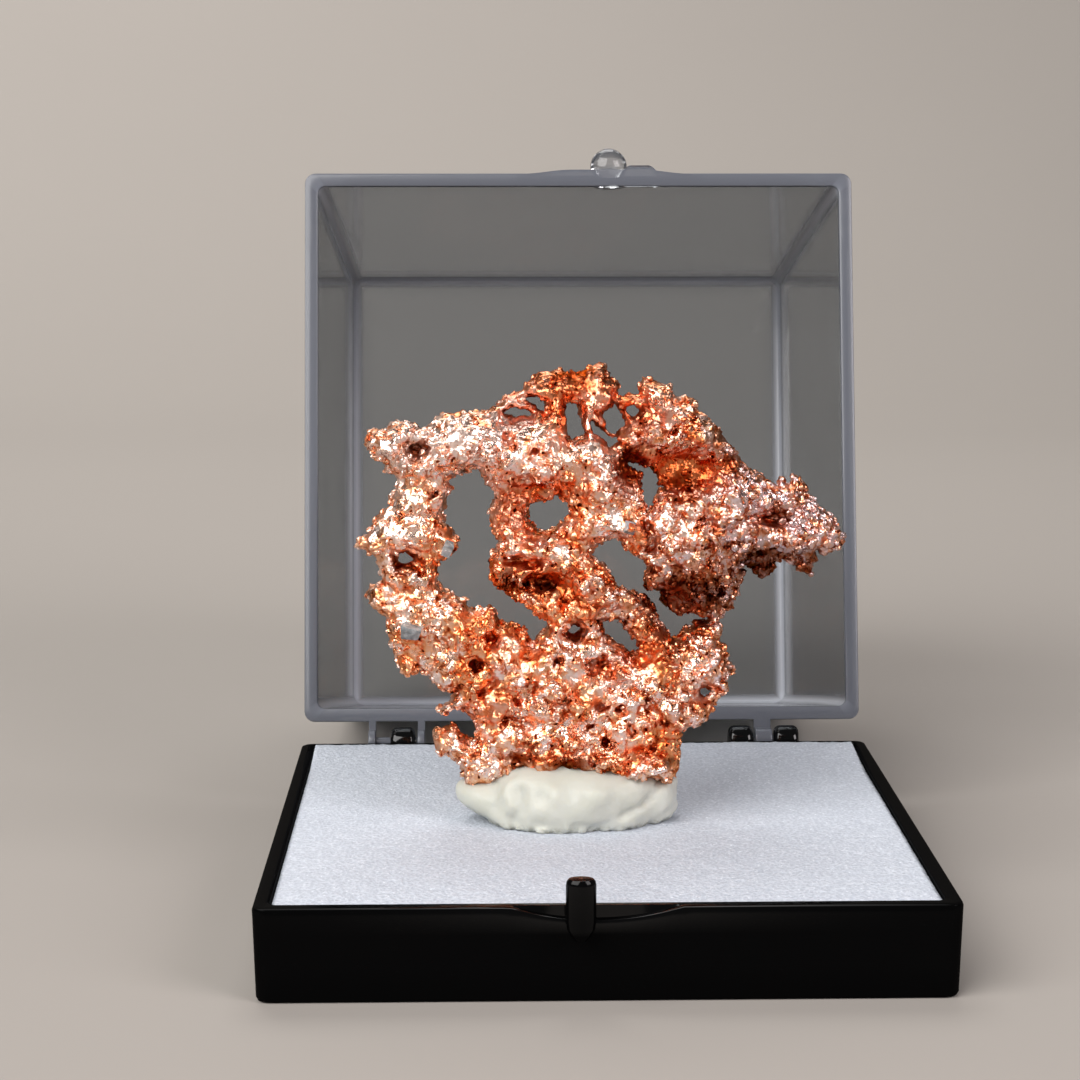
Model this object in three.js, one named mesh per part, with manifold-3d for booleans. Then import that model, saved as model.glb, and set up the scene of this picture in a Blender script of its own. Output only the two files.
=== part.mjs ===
// Native copper nugget, pressed into a lump of putty inside a small hinged display box.
// Millimetres, +X to the right, +Y away from the viewer, +Z up.
// The origin is the middle of the box's underside. The lid stands open, as modelled.
import * as THREE from "three";
import Module from "manifold-3d";
import { mergeVertices } from "three/addons/utils/BufferGeometryUtils.js";

const wasm = await Module();
wasm.setup();

// Box: a square black tray and a deep clear lid
const BOX_SIDE = 68.2;
const BASE_HEIGHT = 9.5;
const BASE_DRAFT = 1.3;
const WALL = 1.65;
const FLOOR = 1.8;
const CORNER_RADIUS = 1.3;
const UNDER_EDGE = 0.5;
const LID_DEPTH = 53;
const LID_DRAFT = 1.9;
const LID_OPEN = 104;
const LID_GAP = 0.25;
const LID_CORNER_RADIUS = 2.6;
const LID_TOP_ROUND = 1.4;
const FIT_GAP = 0.3;

// Hinge: black barrels on the tray, clear pins on the lid
const HINGE_Y = 36.6;
const HINGE_Z = 9.0;
const BARREL_RADIUS = 1.8;
const BARREL_ROUND = 0.7;
const BORE_RADIUS = 0.85;
const PIN_RADIUS = 0.6;
const EAR_RADIUS = 1.5;
const LEFT_BARREL = [-23.5, -20.5];
const LEFT_EARS = [
  [-26.2, -25.3],
  [-20.2, -19.3],
];
const LEFT_PINS = [
  [-25.6, -22.9],
  [-21.2, -19.9],
];
const RIGHT_BARRELS = [
  [17.8, 20.8],
  [23.4, 26.4],
];
const RIGHT_EAR = [21.05, 23.15];
const RIGHT_PIN = [19.6, 24.6];
const STRUT = [-25.1, -23.3];
const STRUT_TOP = 8.3;
const WEB_BOTTOM = 6.9;

// Catch: a black post on the tray, a clear stub and a low lip on the lid
const POST = { x: -2.75, halfWidth: 1.45, halfDepth: 1.1, bottom: 7.6, top: 12.8 };
const STUB = { x: 3.8, radius: 2.3, proud: 3.5, height: 3.6 };
const SHOULDER = { x: 7.6, halfWidth: 2.8, proud: 1.0, height: 2.2 };
const LIP = { x: 3.4, halfWidth: 10.6, proud: 0.45, height: 1.7 };
const SCOOP = { x: -1.2, halfWidth: 8.2, depth: 1.25, inward: 0.65 };

// Foam and putty
const FOAM_TOP = 9.3;
const FOAM_CROWN = 0.35;
const FOAM_EDGE = 1.2;
const FOAM_CORNER_RADIUS = 0.7;
const PUTTY_BOTTOM = 9.6;
const PUTTY_CELL = 1.6;
const PUTTY_START = [-12, -3, 11.2];
const PUTTY_BLEND = 0.7;
const PUTTY_FULLNESS = 2.5;
const PUTTY_ROOM = 0.7;
const PUTTY_LOBES = [
  { at: [-8.6, -1.6, 11.9], size: [6.5, 6.8, 2.7] },
  { at: [-2.2, -1.9, 11.8], size: [8.0, 6.9, 3.0] },
  { at: [5.0, -1.2, 11.5], size: [4.7, 6.3, 2.4] },
  { at: [6.2, -4.2, 11.2], size: [3.2, 3.9, 2.0] },
];

// Copper: outline in the X-Z plane, read round the edge, then the gaps that go right through
const OUTLINE = [
  [-25.6, 39.5], [-25.2, 40.1], [-24.3, 40.2], [-23.9, 41.0], [-23.2, 42.2], [-22.3, 43.2],
  [-21.9, 44.2], [-21.4, 45.2], [-20.9, 46.2], [-21.5, 46.7], [-22.5, 46.8], [-22.4, 48.0],
  [-23.4, 48.4], [-24.0, 49.4], [-24.4, 50.4], [-23.8, 51.4], [-22.2, 51.6], [-21.2, 52.5],
  [-19.6, 52.4], [-18.3, 51.6], [-17.2, 52.2], [-16.2, 53.2], [-15.0, 53.1], [-13.4, 53.5],
  [-11.6, 53.4], [-10.4, 54.0], [-9.5, 55.1], [-8.0, 55.4], [-7.2, 56.4], [-6.0, 57.3],
  [-4.6, 57.5], [-3.7, 57.8], [-2.6, 57.2], [-1.4, 57.5], [-0.2, 58.3], [1.3, 58.2],
  [1.5, 57.1], [2.6, 56.1], [2.4, 54.8], [3.4, 54.9], [4.8, 54.8], [4.4, 55.7],
  [4.8, 56.6], [6.0, 56.7], [7.2, 56.2], [8.3, 55.7], [8.7, 54.8], [10.1, 54.9],
  [10.7, 54.2], [10.9, 53.1], [12.2, 52.4], [13.1, 51.4], [13.8, 50.1], [14.8, 48.8],
  [15.7, 47.3], [17.0, 46.7], [18.3, 46.1], [18.5, 45.3], [19.4, 45.2], [20.0, 45.8],
  [20.8, 45.1], [21.3, 46.2], [21.8, 46.0], [22.3, 44.6], [23.6, 43.4], [24.9, 42.2],
  [26.1, 40.8], [26.9, 39.6], [26.6, 38.6], [25.6, 37.6], [24.5, 37.5], [23.8, 37.9],
  [23.6, 36.2], [23.4, 35.1], [22.4, 35.2], [21.7, 36.1], [21.5, 36.9], [19.6, 36.8],
  [19.1, 35.4], [18.2, 34.8], [17.4, 35.1], [16.7, 36.3], [16.1, 36.7], [16.0, 35.2],
  [15.7, 33.9], [15.0, 32.7], [14.2, 31.3], [13.2, 30.5], [13.9, 29.4], [13.4, 28.3],
  [14.1, 27.4], [14.2, 26.3], [15.0, 25.6], [14.9, 24.9], [13.9, 24.3], [14.6, 23.5],
  [14.3, 22.8], [13.1, 21.9], [12.5, 20.9], [11.9, 20.0], [10.6, 19.3], [9.3, 19.1],
  [9.1, 17.2], [9.0, 15.4], [8.6, 14.0], [8.0, 12.9], [7.2, 12.9], [6.4, 13.7],
  [5.2, 13.2], [4.4, 11.4], [-7.0, 11.4], [-8.6, 13.6], [-10.0, 13.8], [-11.2, 13.1],
  [-12.0, 12.7], [-12.6, 13.1], [-12.8, 12.1], [-13.3, 12.1], [-13.6, 13.2], [-14.5, 14.6],
  [-14.8, 15.4], [-15.8, 16.5], [-17.0, 16.2], [-17.3, 17.5], [-17.6, 19.0], [-17.2, 19.6],
  [-15.9, 19.7], [-15.3, 20.1], [-14.9, 19.9], [-14.4, 18.9], [-13.5, 18.2], [-12.5, 18.3],
  [-13.1, 20.0], [-14.0, 21.6], [-15.2, 21.6], [-16.3, 20.8], [-17.0, 21.2], [-16.2, 22.2],
  [-15.1, 23.0], [-14.9, 23.6], [-16.5, 23.7], [-17.1, 24.3], [-17.7, 25.3], [-18.8, 26.0],
  [-19.2, 25.4], [-20.1, 24.9], [-20.9, 25.6], [-21.4, 27.3], [-22.1, 28.7], [-22.3, 30.0],
  [-22.1, 31.4], [-22.9, 31.9], [-24.2, 32.8], [-24.7, 33.9], [-24.2, 34.8], [-22.7, 35.4],
  [-23.0, 36.8], [-23.6, 38.1], [-24.4, 38.6], [-25.3, 38.8],
];
const COLUMN_GAP = [
  [-12.7, 47.5], [-11.8, 46.2], [-10.8, 45.0], [-10.5, 44.3], [-10.9, 43.5], [-11.5, 42.8],
  [-11.1, 41.5], [-11.2, 40.4], [-10.5, 39.5], [-10.6, 39.0], [-11.2, 38.4], [-11.6, 37.0],
  [-11.2, 35.7], [-10.9, 34.7], [-9.7, 34.0], [-8.6, 33.5], [-7.3, 32.5], [-6.2, 31.6],
  [-5.4, 31.1], [-5.2, 30.3], [-6.0, 29.7], [-6.8, 28.5], [-7.2, 29.2], [-7.7, 30.4],
  [-8.6, 30.9], [-10.3, 31.1], [-10.6, 32.2], [-11.4, 32.8], [-12.4, 33.0], [-13.0, 32.3],
  [-13.5, 33.5], [-14.2, 33.7], [-15.4, 34.0], [-16.3, 34.5], [-16.7, 35.2], [-16.6, 36.6],
  [-16.3, 37.5], [-15.2, 38.0], [-14.5, 38.8], [-14.6, 39.7], [-15.0, 40.7], [-15.9, 41.6],
  [-16.1, 42.4], [-15.8, 43.6], [-15.5, 44.5], [-15.0, 45.1], [-15.4, 45.9], [-13.6, 46.7],
];
const ARM_GAP = [
  [2.0, 40.0], [2.9, 39.5], [3.7, 38.5], [5.0, 37.5], [5.6, 36.8], [5.1, 36.0],
  [5.1, 34.8], [5.8, 34.2], [6.8, 34.0], [7.3, 33.0], [7.8, 31.9], [9.0, 31.3],
  [10.3, 31.4], [11.3, 30.8], [12.0, 30.5], [11.0, 30.1], [9.8, 29.8], [8.9, 28.9],
  [8.0, 29.0], [7.3, 30.2], [6.6, 31.4], [6.2, 32.5], [5.3, 33.3], [4.4, 34.0],
  [3.0, 34.6], [1.9, 35.3], [1.4, 36.5], [1.0, 37.5], [0.2, 37.4], [-0.6, 38.0],
  [0.2, 39.1], [1.2, 39.7],
];
const OVAL_HOLE = [
  [-7.4, 42.9], [-6.8, 43.6], [-5.2, 43.9], [-4.1, 44.4], [-3.2, 44.0], [-2.9, 43.0],
  [-3.4, 42.0], [-4.2, 41.1], [-5.1, 40.7], [-6.3, 40.7], [-6.8, 41.4], [-7.0, 42.1],
];
const UPPER_SLIT = [
  [3.5, 47.7], [4.6, 47.6], [5.9, 47.1], [6.5, 46.2], [7.3, 45.1], [6.6, 44.6],
  [6.2, 43.3], [5.8, 42.9], [5.2, 42.9], [5.1, 44.0], [4.9, 45.4], [4.7, 46.4], [4.1, 47.1],
];
const LOWER_SLIT = [
  [0.5, 31.0], [1.8, 31.1], [3.0, 31.1], [2.9, 30.5], [3.6, 29.6], [4.4, 28.7],
  [4.5, 27.4], [3.9, 27.4], [2.9, 28.1], [2.1, 28.8], [0.9, 29.5], [0.6, 30.3],
];
const CREST_HOLE = [
  [1.1, 53.0], [2.0, 53.6], [2.7, 52.9], [2.9, 51.9], [2.0, 51.1], [1.2, 51.7],
];
const CREST_SLIT = [
  [-3.0, 53.7], [-2.1, 53.6], [-1.8, 52.2], [-1.4, 51.2], [-2.5, 50.8], [-2.8, 52.0],
];
const CREST_LOOP = [
  [-8.9, 53.4], [-7.5, 54.5], [-6.2, 54.6], [-5.6, 53.9], [-6.6, 53.1], [-8.0, 52.8],
];
const LOOPS = [
  OUTLINE, COLUMN_GAP, ARM_GAP, OVAL_HOLE, UPPER_SLIT, LOWER_SLIT, CREST_HOLE, CREST_SLIT, CREST_LOOP,
];

// Copper: how far each region leans back, and how thick it is to the front and to the back
const REGIONS = [
  { x: -22, z: 50, lean: 0.2, front: 3.2, back: 3.0 },
  { x: -15, z: 50, lean: -0.6, front: 3.6, back: 3.2 },
  { x: -19, z: 44, lean: 0.6, front: 3.2, back: 3.0 },
  { x: -20, z: 37, lean: 0.0, front: 3.4, back: 3.2 },
  { x: -20, z: 29, lean: -0.8, front: 3.4, back: 3.0 },
  { x: -8, z: 55, lean: 1.8, front: 2.2, back: 2.4 },
  { x: 0, z: 56, lean: 2.0, front: 2.4, back: 2.4 },
  { x: -7, z: 49, lean: -0.8, front: 4.0, back: 3.4 },
  { x: 0, z: 48, lean: -1.0, front: 4.0, back: 3.4 },
  { x: -10, z: 42, lean: 0.8, front: 2.6, back: 2.8 },
  { x: 1, z: 43, lean: -0.4, front: 3.8, back: 3.2 },
  { x: -8, z: 37, lean: -0.4, front: 4.2, back: 3.2 },
  { x: -2, z: 36, lean: -0.6, front: 4.0, back: 3.4 },
  { x: 4, z: 32, lean: -0.6, front: 3.4, back: 3.2 },
  { x: -14, z: 28, lean: -0.8, front: 4.0, back: 3.6 },
  { x: -4, z: 26, lean: -0.6, front: 4.8, back: 4.2 },
  { x: 5, z: 25, lean: -0.4, front: 4.8, back: 4.2 },
  { x: 12, z: 26, lean: 1.2, front: 3.4, back: 3.6 },
  { x: -10, z: 20, lean: -0.4, front: 4.2, back: 4.0 },
  { x: -16, z: 18, lean: -1.4, front: 2.8, back: 2.6 },
  { x: -3, z: 18, lean: -0.6, front: 5.0, back: 4.4 },
  { x: 6, z: 18, lean: -0.6, front: 4.4, back: 4.2 },
  { x: 5, z: 53, lean: 1.4, front: 2.8, back: 2.8 },
  { x: 10, z: 51, lean: 0.8, front: 3.8, back: 3.4 },
  { x: 9, z: 46, lean: 1.0, front: 3.4, back: 3.6 },
  { x: 9, z: 40, lean: -0.4, front: 4.8, back: 4.0 },
  { x: 15, z: 43, lean: 0.8, front: 4.2, back: 3.8 },
  { x: 20, z: 41, lean: 2.2, front: 3.2, back: 3.0 },
  { x: 25, z: 40, lean: 3.2, front: 2.4, back: 2.4 },
  { x: 18, z: 36, lean: 3.4, front: 2.4, back: 2.8 },
  { x: 11, z: 34, lean: 2.6, front: 3.4, back: 3.8 },
];
const REGION_REACH = 3.4;
const EDGE_ROUND = 2.7;

// Copper: swellings and sinks of the front, [x, z, reach across, reach up, height]
const SWELLS = [
  [-21.6, 50.2, 2.4, 1.6, 0.8],
  [-14.5, 49.6, 4.2, 2.0, 0.9],
  [-18.8, 49.5, 0.9, 0.9, -1.6],
  [-14.2, 46.9, 1.8, 0.7, -1.4],
  [-19.2, 41.2, 3.4, 1.3, 0.9],
  [-18.4, 36.2, 1.6, 1.4, 0.8],
  [-21.2, 34.6, 2.4, 0.7, -0.9],
  [-18.2, 27.6, 1.6, 1.6, -1.5],
  [-6.4, 49.2, 4.6, 2.6, 1.0],
  [-5.6, 45.4, 3.4, 0.9, -2.0],
  [1.2, 47.4, 1.3, 2.8, 1.2],
  [3.2, 47.7, 1.0, 1.3, -3.6],
  [1.6, 43.0, 2.2, 0.9, -1.5],
  [-9.6, 41.4, 1.3, 1.6, 0.8],
  [-7.6, 39.2, 2.8, 0.7, 1.0],
  [-8.2, 37.7, 1.7, 0.5, -1.8],
  [-5.2, 35.4, 1.8, 0.8, -2.8],
  [-9.3, 35.2, 0.5, 1.1, -1.7],
  [-3.2, 37.2, 2.4, 0.8, 0.9],
  [-0.8, 35.8, 1.6, 1.5, 0.9],
  [2.6, 32.4, 1.7, 0.6, -1.3],
  [5.2, 30.8, 1.4, 2.0, 0.6],
  [7.6, 50.9, 3.6, 1.0, 1.0],
  [9.4, 47.0, 2.9, 1.7, -3.6],
  [9.0, 43.4, 2.6, 1.3, 0.8],
  [7.4, 42.6, 0.7, 2.2, 1.2],
  [5.7, 39.2, 0.7, 0.9, -2.0],
  [14.4, 45.0, 2.0, 2.2, 0.8],
  [18.6, 41.9, 2.0, 0.6, -2.2],
  [21.6, 40.4, 1.8, 1.6, 0.9],
  [12.4, 38.2, 2.6, 1.4, 0.8],
  [10.9, 34.4, 0.7, 1.3, 1.3],
  [8.4, 33.5, 1.4, 1.2, -1.6],
  [-15.0, 29.6, 3.2, 2.2, 0.8],
  [-12.6, 26.7, 0.6, 0.6, -1.7],
  [-11.1, 29.5, 0.6, 0.6, -1.4],
  [-8.6, 25.2, 2.4, 0.5, 0.9],
  [-2.6, 23.4, 2.1, 1.5, 0.9],
  [-5.6, 20.2, 4.0, 0.6, -1.0],
  [0.8, 24.4, 0.8, 2.6, -1.2],
  [6.6, 20.0, 2.2, 2.2, 0.9],
  [4.4, 15.6, 3.4, 0.8, 0.9],
  [-2.4, 14.7, 1.7, 0.8, -2.0],
  [-7.8, 15.2, 1.2, 0.5, -1.8],
  [-0.2, 26.7, 0.9, 0.6, -1.6],
  [9.4, 26.6, 2.4, 1.8, 0.7],
  [11.9, 23.0, 0.8, 0.8, -2.0],
];

// Copper: knobs and cell of the mesh
const KNOB_SPACING = 3.1;
const KNOB_HEIGHT = 1.5;
const SMALL_KNOB_SPACING = 1.7;
const SMALL_KNOB_HEIGHT = 0.7;
const KNOB_MEAN = 0.42;
const KNOB_SEED = 11;
const SMALL_KNOB_SEED = 5;
const COPPER_CELL = 1.4;
const COPPER_START = [-3, -1, 22];

// Mineral grains grown into the copper
const GRAINS = [
  { name: "quartz_grain_column", at: [-19.5, -4.0, 30.6], size: [1.35, 1.1, 1.05], turn: [0.4, 0.3, 0.2] },
  { name: "quartz_grain_gap", at: [-15.3, -2.0, 39.2], size: [0.75, 0.8, 0.75], turn: [0.2, 0.9, 0.5] },
  { name: "quartz_grain_middle", at: [3.5, -3.6, 41.3], size: [0.75, 0.75, 0.65], turn: [0.7, 0.1, 0.9] },
];

const MATERIALS = {
  copper: { color: 0xc9724c, roughness: 0.32, metalness: 1 },
  blackPlastic: { color: 0x0a0a0b, roughness: 0.25, metalness: 0 },
  clearPlastic: { color: 0xdfe3ea, roughness: 0.08, metalness: 0, transparent: true, opacity: 0.3 },
  foam: { color: 0xc6cdd8, roughness: 0.95, metalness: 0 },
  putty: { color: 0xe6e2d3, roughness: 0.6, metalness: 0 },
  quartz: { color: 0xb4bab8, roughness: 0.2, metalness: 0 },
};

// Solids and meshes
function solidOf(geometry) {
  const bare = geometry.clone();
  bare.deleteAttribute("normal");
  bare.deleteAttribute("uv");
  const merged = mergeVertices(bare, 1e-4);
  return new wasm.Manifold(
    new wasm.Mesh({
      numProp: 3,
      vertProperties: new Float32Array(merged.attributes.position.array),
      triVerts: new Uint32Array(merged.index.array),
    }),
  );
}

function geometryOf(solid) {
  const mesh = solid.getMesh();
  const geometry = new THREE.BufferGeometry();
  geometry.setAttribute("position", new THREE.BufferAttribute(new Float32Array(mesh.vertProperties), 3));
  geometry.setIndex(new THREE.BufferAttribute(new Uint32Array(mesh.triVerts), 1));
  const flat = geometry.toNonIndexed();
  flat.computeVertexNormals();
  return flat;
}

function named(name, solid, finish) {
  const mesh = new THREE.Mesh(geometryOf(solid), new THREE.MeshStandardMaterial(MATERIALS[finish]));
  mesh.name = name;
  return mesh;
}

// Box shapes
function roundedSquare(half, radius, z) {
  const stepsPerCorner = 5;
  const corners = [
    [1, 1],
    [-1, 1],
    [-1, -1],
    [1, -1],
  ];
  const points = [];
  corners.forEach(([sx, sy], quarter) => {
    for (let i = 0; i <= stepsPerCorner; i++) {
      const angle = (quarter + i / stepsPerCorner) * (Math.PI / 2);
      const x = sx * (half - radius) + radius * Math.cos(angle);
      const y = sy * (half - radius) + radius * Math.sin(angle);
      points.push(new THREE.Vector3(x, y, z));
    }
  });
  return points;
}

// A closed skin over stacked rings of equal count, lowest ring first
function stack(rings) {
  const count = rings[0].length;
  const positions = rings.flat().flatMap((p) => [p.x, p.y, p.z]);
  const index = [];
  for (let r = 0; r + 1 < rings.length; r++) {
    for (let i = 0; i < count; i++) {
      const a = r * count + i;
      const b = r * count + ((i + 1) % count);
      index.push(a, b, b + count, a, b + count, a + count);
    }
  }
  const last = (rings.length - 1) * count;
  for (let i = 1; i + 1 < count; i++) {
    index.push(0, i + 1, i, last, last + i, last + i + 1);
  }
  const geometry = new THREE.BufferGeometry();
  geometry.setAttribute("position", new THREE.Float32BufferAttribute(positions, 3));
  geometry.setIndex(index);
  return solidOf(geometry);
}

function block(x0, x1, y0, y1, z0, z1) {
  const geometry = new THREE.BoxGeometry(x1 - x0, y1 - y0, z1 - z0);
  geometry.translate((x0 + x1) / 2, (y0 + y1) / 2, (z0 + z1) / 2);
  return solidOf(geometry);
}

// A round bar along X on the hinge axis, with its two ends rounded over by `round`
function hingeBar([x0, x1], radius, round) {
  const middle = (x0 + x1) / 2;
  const half = (x1 - x0) / 2;
  const profile = [new THREE.Vector2(0, -half)];
  const stepsPerEdge = round > 0 ? 2 : 0;
  [-1, 1].forEach((side) => {
    for (let i = 0; i <= stepsPerEdge; i++) {
      const share = stepsPerEdge ? i / stepsPerEdge : 0;
      const angle = ((side < 0 ? share : 1 - share) * Math.PI) / 2;
      const r = radius - round + round * Math.sin(angle);
      profile.push(new THREE.Vector2(r, side * (half - round + round * Math.cos(angle))));
    }
  });
  profile.push(new THREE.Vector2(0, half));
  const geometry = new THREE.LatheGeometry(profile, 16);
  geometry.rotateZ(-Math.PI / 2);
  geometry.translate(middle, HINGE_Y, HINGE_Z);
  return solidOf(geometry);
}

const radians = (degrees) => (degrees * Math.PI) / 180;
const half = BOX_SIDE / 2;
const baseLean = Math.tan(radians(BASE_DRAFT));
const lidLean = Math.tan(radians(LID_DRAFT));

// Catch post, elliptic with a rounded top, standing on a web at the front wall
function catchPost() {
  const levels = [
    [POST.bottom - 1.0, 0.35],
    [POST.bottom, 0.85],
    [POST.bottom + 1.0, 1.0],
    [POST.top - 0.8, 1.0],
    [POST.top - 0.25, 0.88],
    [POST.top, 0.6],
  ];
  const centreY = -half - FIT_GAP - POST.halfDepth;
  const rings = levels.map(([z, share]) => {
    const ring = [];
    for (let i = 0; i < 14; i++) {
      const angle = (i / 14) * 2 * Math.PI;
      const x = POST.x + POST.halfWidth * share * Math.cos(angle);
      ring.push(new THREE.Vector3(x, centreY + POST.halfDepth * share * Math.sin(angle), z));
    }
    return ring;
  });
  const web = block(
    POST.x - POST.halfWidth * 0.8,
    POST.x + POST.halfWidth * 0.8,
    centreY,
    -half + WALL / 2,
    POST.bottom - 0.6,
    BASE_HEIGHT - 0.3,
  );
  return stack(rings).add(web);
}

// The thumb scoop is the end of a large drum sunk into the front rim
function thumbScoop() {
  const radius = (SCOOP.halfWidth ** 2 + SCOOP.depth ** 2) / (2 * SCOOP.depth);
  const length = 3 * SCOOP.inward;
  const drum = new THREE.CylinderGeometry(radius, radius, length, 64);
  drum.rotateX(Math.PI / 2);
  drum.translate(SCOOP.x, -half + SCOOP.inward - length / 2, BASE_HEIGHT - SCOOP.depth + radius);
  return solidOf(drum);
}

function boxBase() {
  const under = half - BASE_HEIGHT * baseLean;
  let tray = stack([
    roundedSquare(under - UNDER_EDGE, CORNER_RADIUS, 0),
    roundedSquare(under, CORNER_RADIUS, UNDER_EDGE),
    roundedSquare(half, CORNER_RADIUS, BASE_HEIGHT),
  ]);
  const innerAt = (z) => half - WALL - (BASE_HEIGHT - z) * baseLean;
  const innerRadius = CORNER_RADIUS * 0.6;
  const hollow = stack([
    roundedSquare(innerAt(FLOOR), innerRadius, FLOOR),
    roundedSquare(innerAt(BASE_HEIGHT + 1), innerRadius, BASE_HEIGHT + 1),
  ]);
  tray = tray.subtract(hollow).subtract(thumbScoop());
  const barrels = [LEFT_BARREL, ...RIGHT_BARRELS];
  barrels.forEach(([x0, x1]) => {
    const inset = BARREL_ROUND * 0.5;
    tray = tray.add(block(x0 + inset, x1 - inset, half - 1, HINGE_Y, WEB_BOTTOM, HINGE_Z));
    tray = tray.add(hingeBar([x0, x1], BARREL_RADIUS, BARREL_ROUND));
  });
  tray = tray.add(block(STRUT[0], STRUT[1], half - 1, HINGE_Y + 0.6, WEB_BOTTOM, STRUT_TOP));
  const bores = [
    [LEFT_BARREL[0] - 1, LEFT_BARREL[1] + 1],
    [RIGHT_BARRELS[0][1] - 1.6, RIGHT_BARRELS[1][0] + 1.6],
  ];
  bores.forEach((span) => {
    tray = tray.subtract(hingeBar(span, BORE_RADIUS, 0));
  });
  return tray.add(catchPost());
}

// The lid is made shut, then its group turns it open about the hinge
function lidShape() {
  const rim = BASE_HEIGHT + LID_GAP;
  const top = rim + LID_DEPTH;
  const outerAt = (z) => half - (z - rim) * lidLean;
  const shell = stack([
    roundedSquare(outerAt(rim), CORNER_RADIUS, rim),
    roundedSquare(outerAt(top - LID_TOP_ROUND), LID_CORNER_RADIUS, top - LID_TOP_ROUND),
    roundedSquare(outerAt(top) - LID_TOP_ROUND * 0.2, LID_CORNER_RADIUS, top - LID_TOP_ROUND * 0.3),
    roundedSquare(outerAt(top) - LID_TOP_ROUND * 0.8, LID_CORNER_RADIUS, top),
  ]);
  const ceiling = top - WALL;
  const innerRadius = LID_CORNER_RADIUS - WALL * 0.6;
  const hollow = stack([
    roundedSquare(outerAt(rim) - WALL + lidLean, CORNER_RADIUS * 0.7, rim - 1),
    roundedSquare(outerAt(ceiling - 1) - WALL, innerRadius, ceiling - 1),
    roundedSquare(outerAt(ceiling) - WALL - LID_TOP_ROUND * 0.55, innerRadius, ceiling),
  ]);
  let lid = shell.subtract(hollow);

  // Ears and pins of the hinge
  const ears = [...LEFT_EARS, RIGHT_EAR];
  ears.forEach((span) => {
    lid = lid.add(hingeBar(span, EAR_RADIUS, 0));
    lid = lid.add(block(span[0], span[1], half - 1, HINGE_Y + 0.4, rim, HINGE_Z + EAR_RADIUS));
  });
  [...LEFT_PINS, RIGHT_PIN].forEach((span) => {
    lid = lid.add(hingeBar(span, PIN_RADIUS, 0));
  });

  // Lip, shoulder and stub on the front wall
  const face = -half + 0.6;
  const bump = ({ x, halfWidth, proud, height }) => {
    const shape = new THREE.Shape();
    shape.moveTo(x - halfWidth, face);
    shape.lineTo(x + halfWidth, face);
    shape.quadraticCurveTo(x + halfWidth * 0.75, -half - proud, x + halfWidth * 0.45, -half - proud);
    shape.lineTo(x - halfWidth * 0.45, -half - proud);
    shape.quadraticCurveTo(x - halfWidth * 0.75, -half - proud, x - halfWidth, face);
    const settings = { depth: height, bevelEnabled: false, curveSegments: 4 };
    const geometry = new THREE.ExtrudeGeometry(shape, settings);
    geometry.translate(0, 0, rim);
    return solidOf(geometry);
  };
  const stub = new THREE.SphereGeometry(STUB.radius, 14, 8);
  stub.scale(1, 1, STUB.height / 2 / STUB.radius);
  stub.translate(STUB.x, -half - STUB.proud + STUB.radius, rim + STUB.height / 2);
  const outside = block(-half, half, -half - 5, face, rim, rim + 6);
  const postRoom = POST.halfWidth + FIT_GAP;
  const notch = block(POST.x - postRoom, POST.x + postRoom, -half - 5, -half, rim - 1, rim + 6);
  const catchParts = bump(LIP).add(bump(SHOULDER)).add(solidOf(stub).intersect(outside)).subtract(notch);
  return lid.add(catchParts);
}

function openLid() {
  const mesh = named("lid", lidShape(), "clearPlastic");
  mesh.position.set(0, -HINGE_Y, -HINGE_Z);
  const pivot = new THREE.Group();
  pivot.position.set(0, HINGE_Y, HINGE_Z);
  pivot.rotation.x = -radians(LID_OPEN);
  pivot.add(mesh);
  return pivot;
}

function foamPad() {
  const side = (z) => half - WALL - FIT_GAP - (BASE_HEIGHT - z) * baseLean;
  const bottom = FLOOR + FIT_GAP;
  return stack([
    roundedSquare(side(bottom), FOAM_CORNER_RADIUS, bottom),
    roundedSquare(side(FOAM_TOP - FOAM_CROWN), FOAM_CORNER_RADIUS, FOAM_TOP - FOAM_CROWN),
    roundedSquare(side(FOAM_TOP) - FOAM_EDGE, FOAM_CORNER_RADIUS, FOAM_TOP),
  ]);
}

// Repeatable random number from three whole numbers and a seed
function hash(i, j, k, seed) {
  const wave = Math.sin(i * 127.1 + j * 311.7 + k * 74.7 + seed * 53.3) * 43758.5453;
  return wave - Math.floor(wave);
}

// Distance from a point to the nearest of one scattered point per unit cell
function nearestSeed(x, y, z, seed) {
  const ci = Math.floor(x);
  const cj = Math.floor(y);
  const ck = Math.floor(z);
  let best = 9;
  for (let i = ci - 1; i <= ci + 1; i++) {
    for (let j = cj - 1; j <= cj + 1; j++) {
      for (let k = ck - 1; k <= ck + 1; k++) {
        const dx = i + hash(i, j, k, seed) - x;
        const dy = j + hash(i, j, k, seed + 1) - y;
        const dz = k + hash(i, j, k, seed + 2) - z;
        best = Math.min(best, dx * dx + dy * dy + dz * dz);
      }
    }
  }
  return Math.sqrt(best);
}

// How far a point of the X-Z plane lies inside the outline and outside its gaps
function insideBy(x, z) {
  let nearest = 1e9;
  let inside = false;
  for (const loop of LOOPS) {
    for (let i = 0; i < loop.length; i++) {
      const [ax, az] = loop[i];
      const [bx, bz] = loop[(i + 1) % loop.length];
      const ex = bx - ax;
      const ez = bz - az;
      const along = ((x - ax) * ex + (z - az) * ez) / (ex * ex + ez * ez);
      const t = Math.min(1, Math.max(0, along));
      const dx = ax + t * ex - x;
      const dz = az + t * ez - z;
      nearest = Math.min(nearest, dx * dx + dz * dz);
      if (az > z !== bz > z && x < ax + (ex * (z - az)) / ez) inside = !inside;
    }
  }
  return inside ? Math.sqrt(nearest) : -Math.sqrt(nearest);
}

function bell(dx, dz) {
  return Math.exp(-0.5 * (dx * dx + dz * dz));
}

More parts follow.
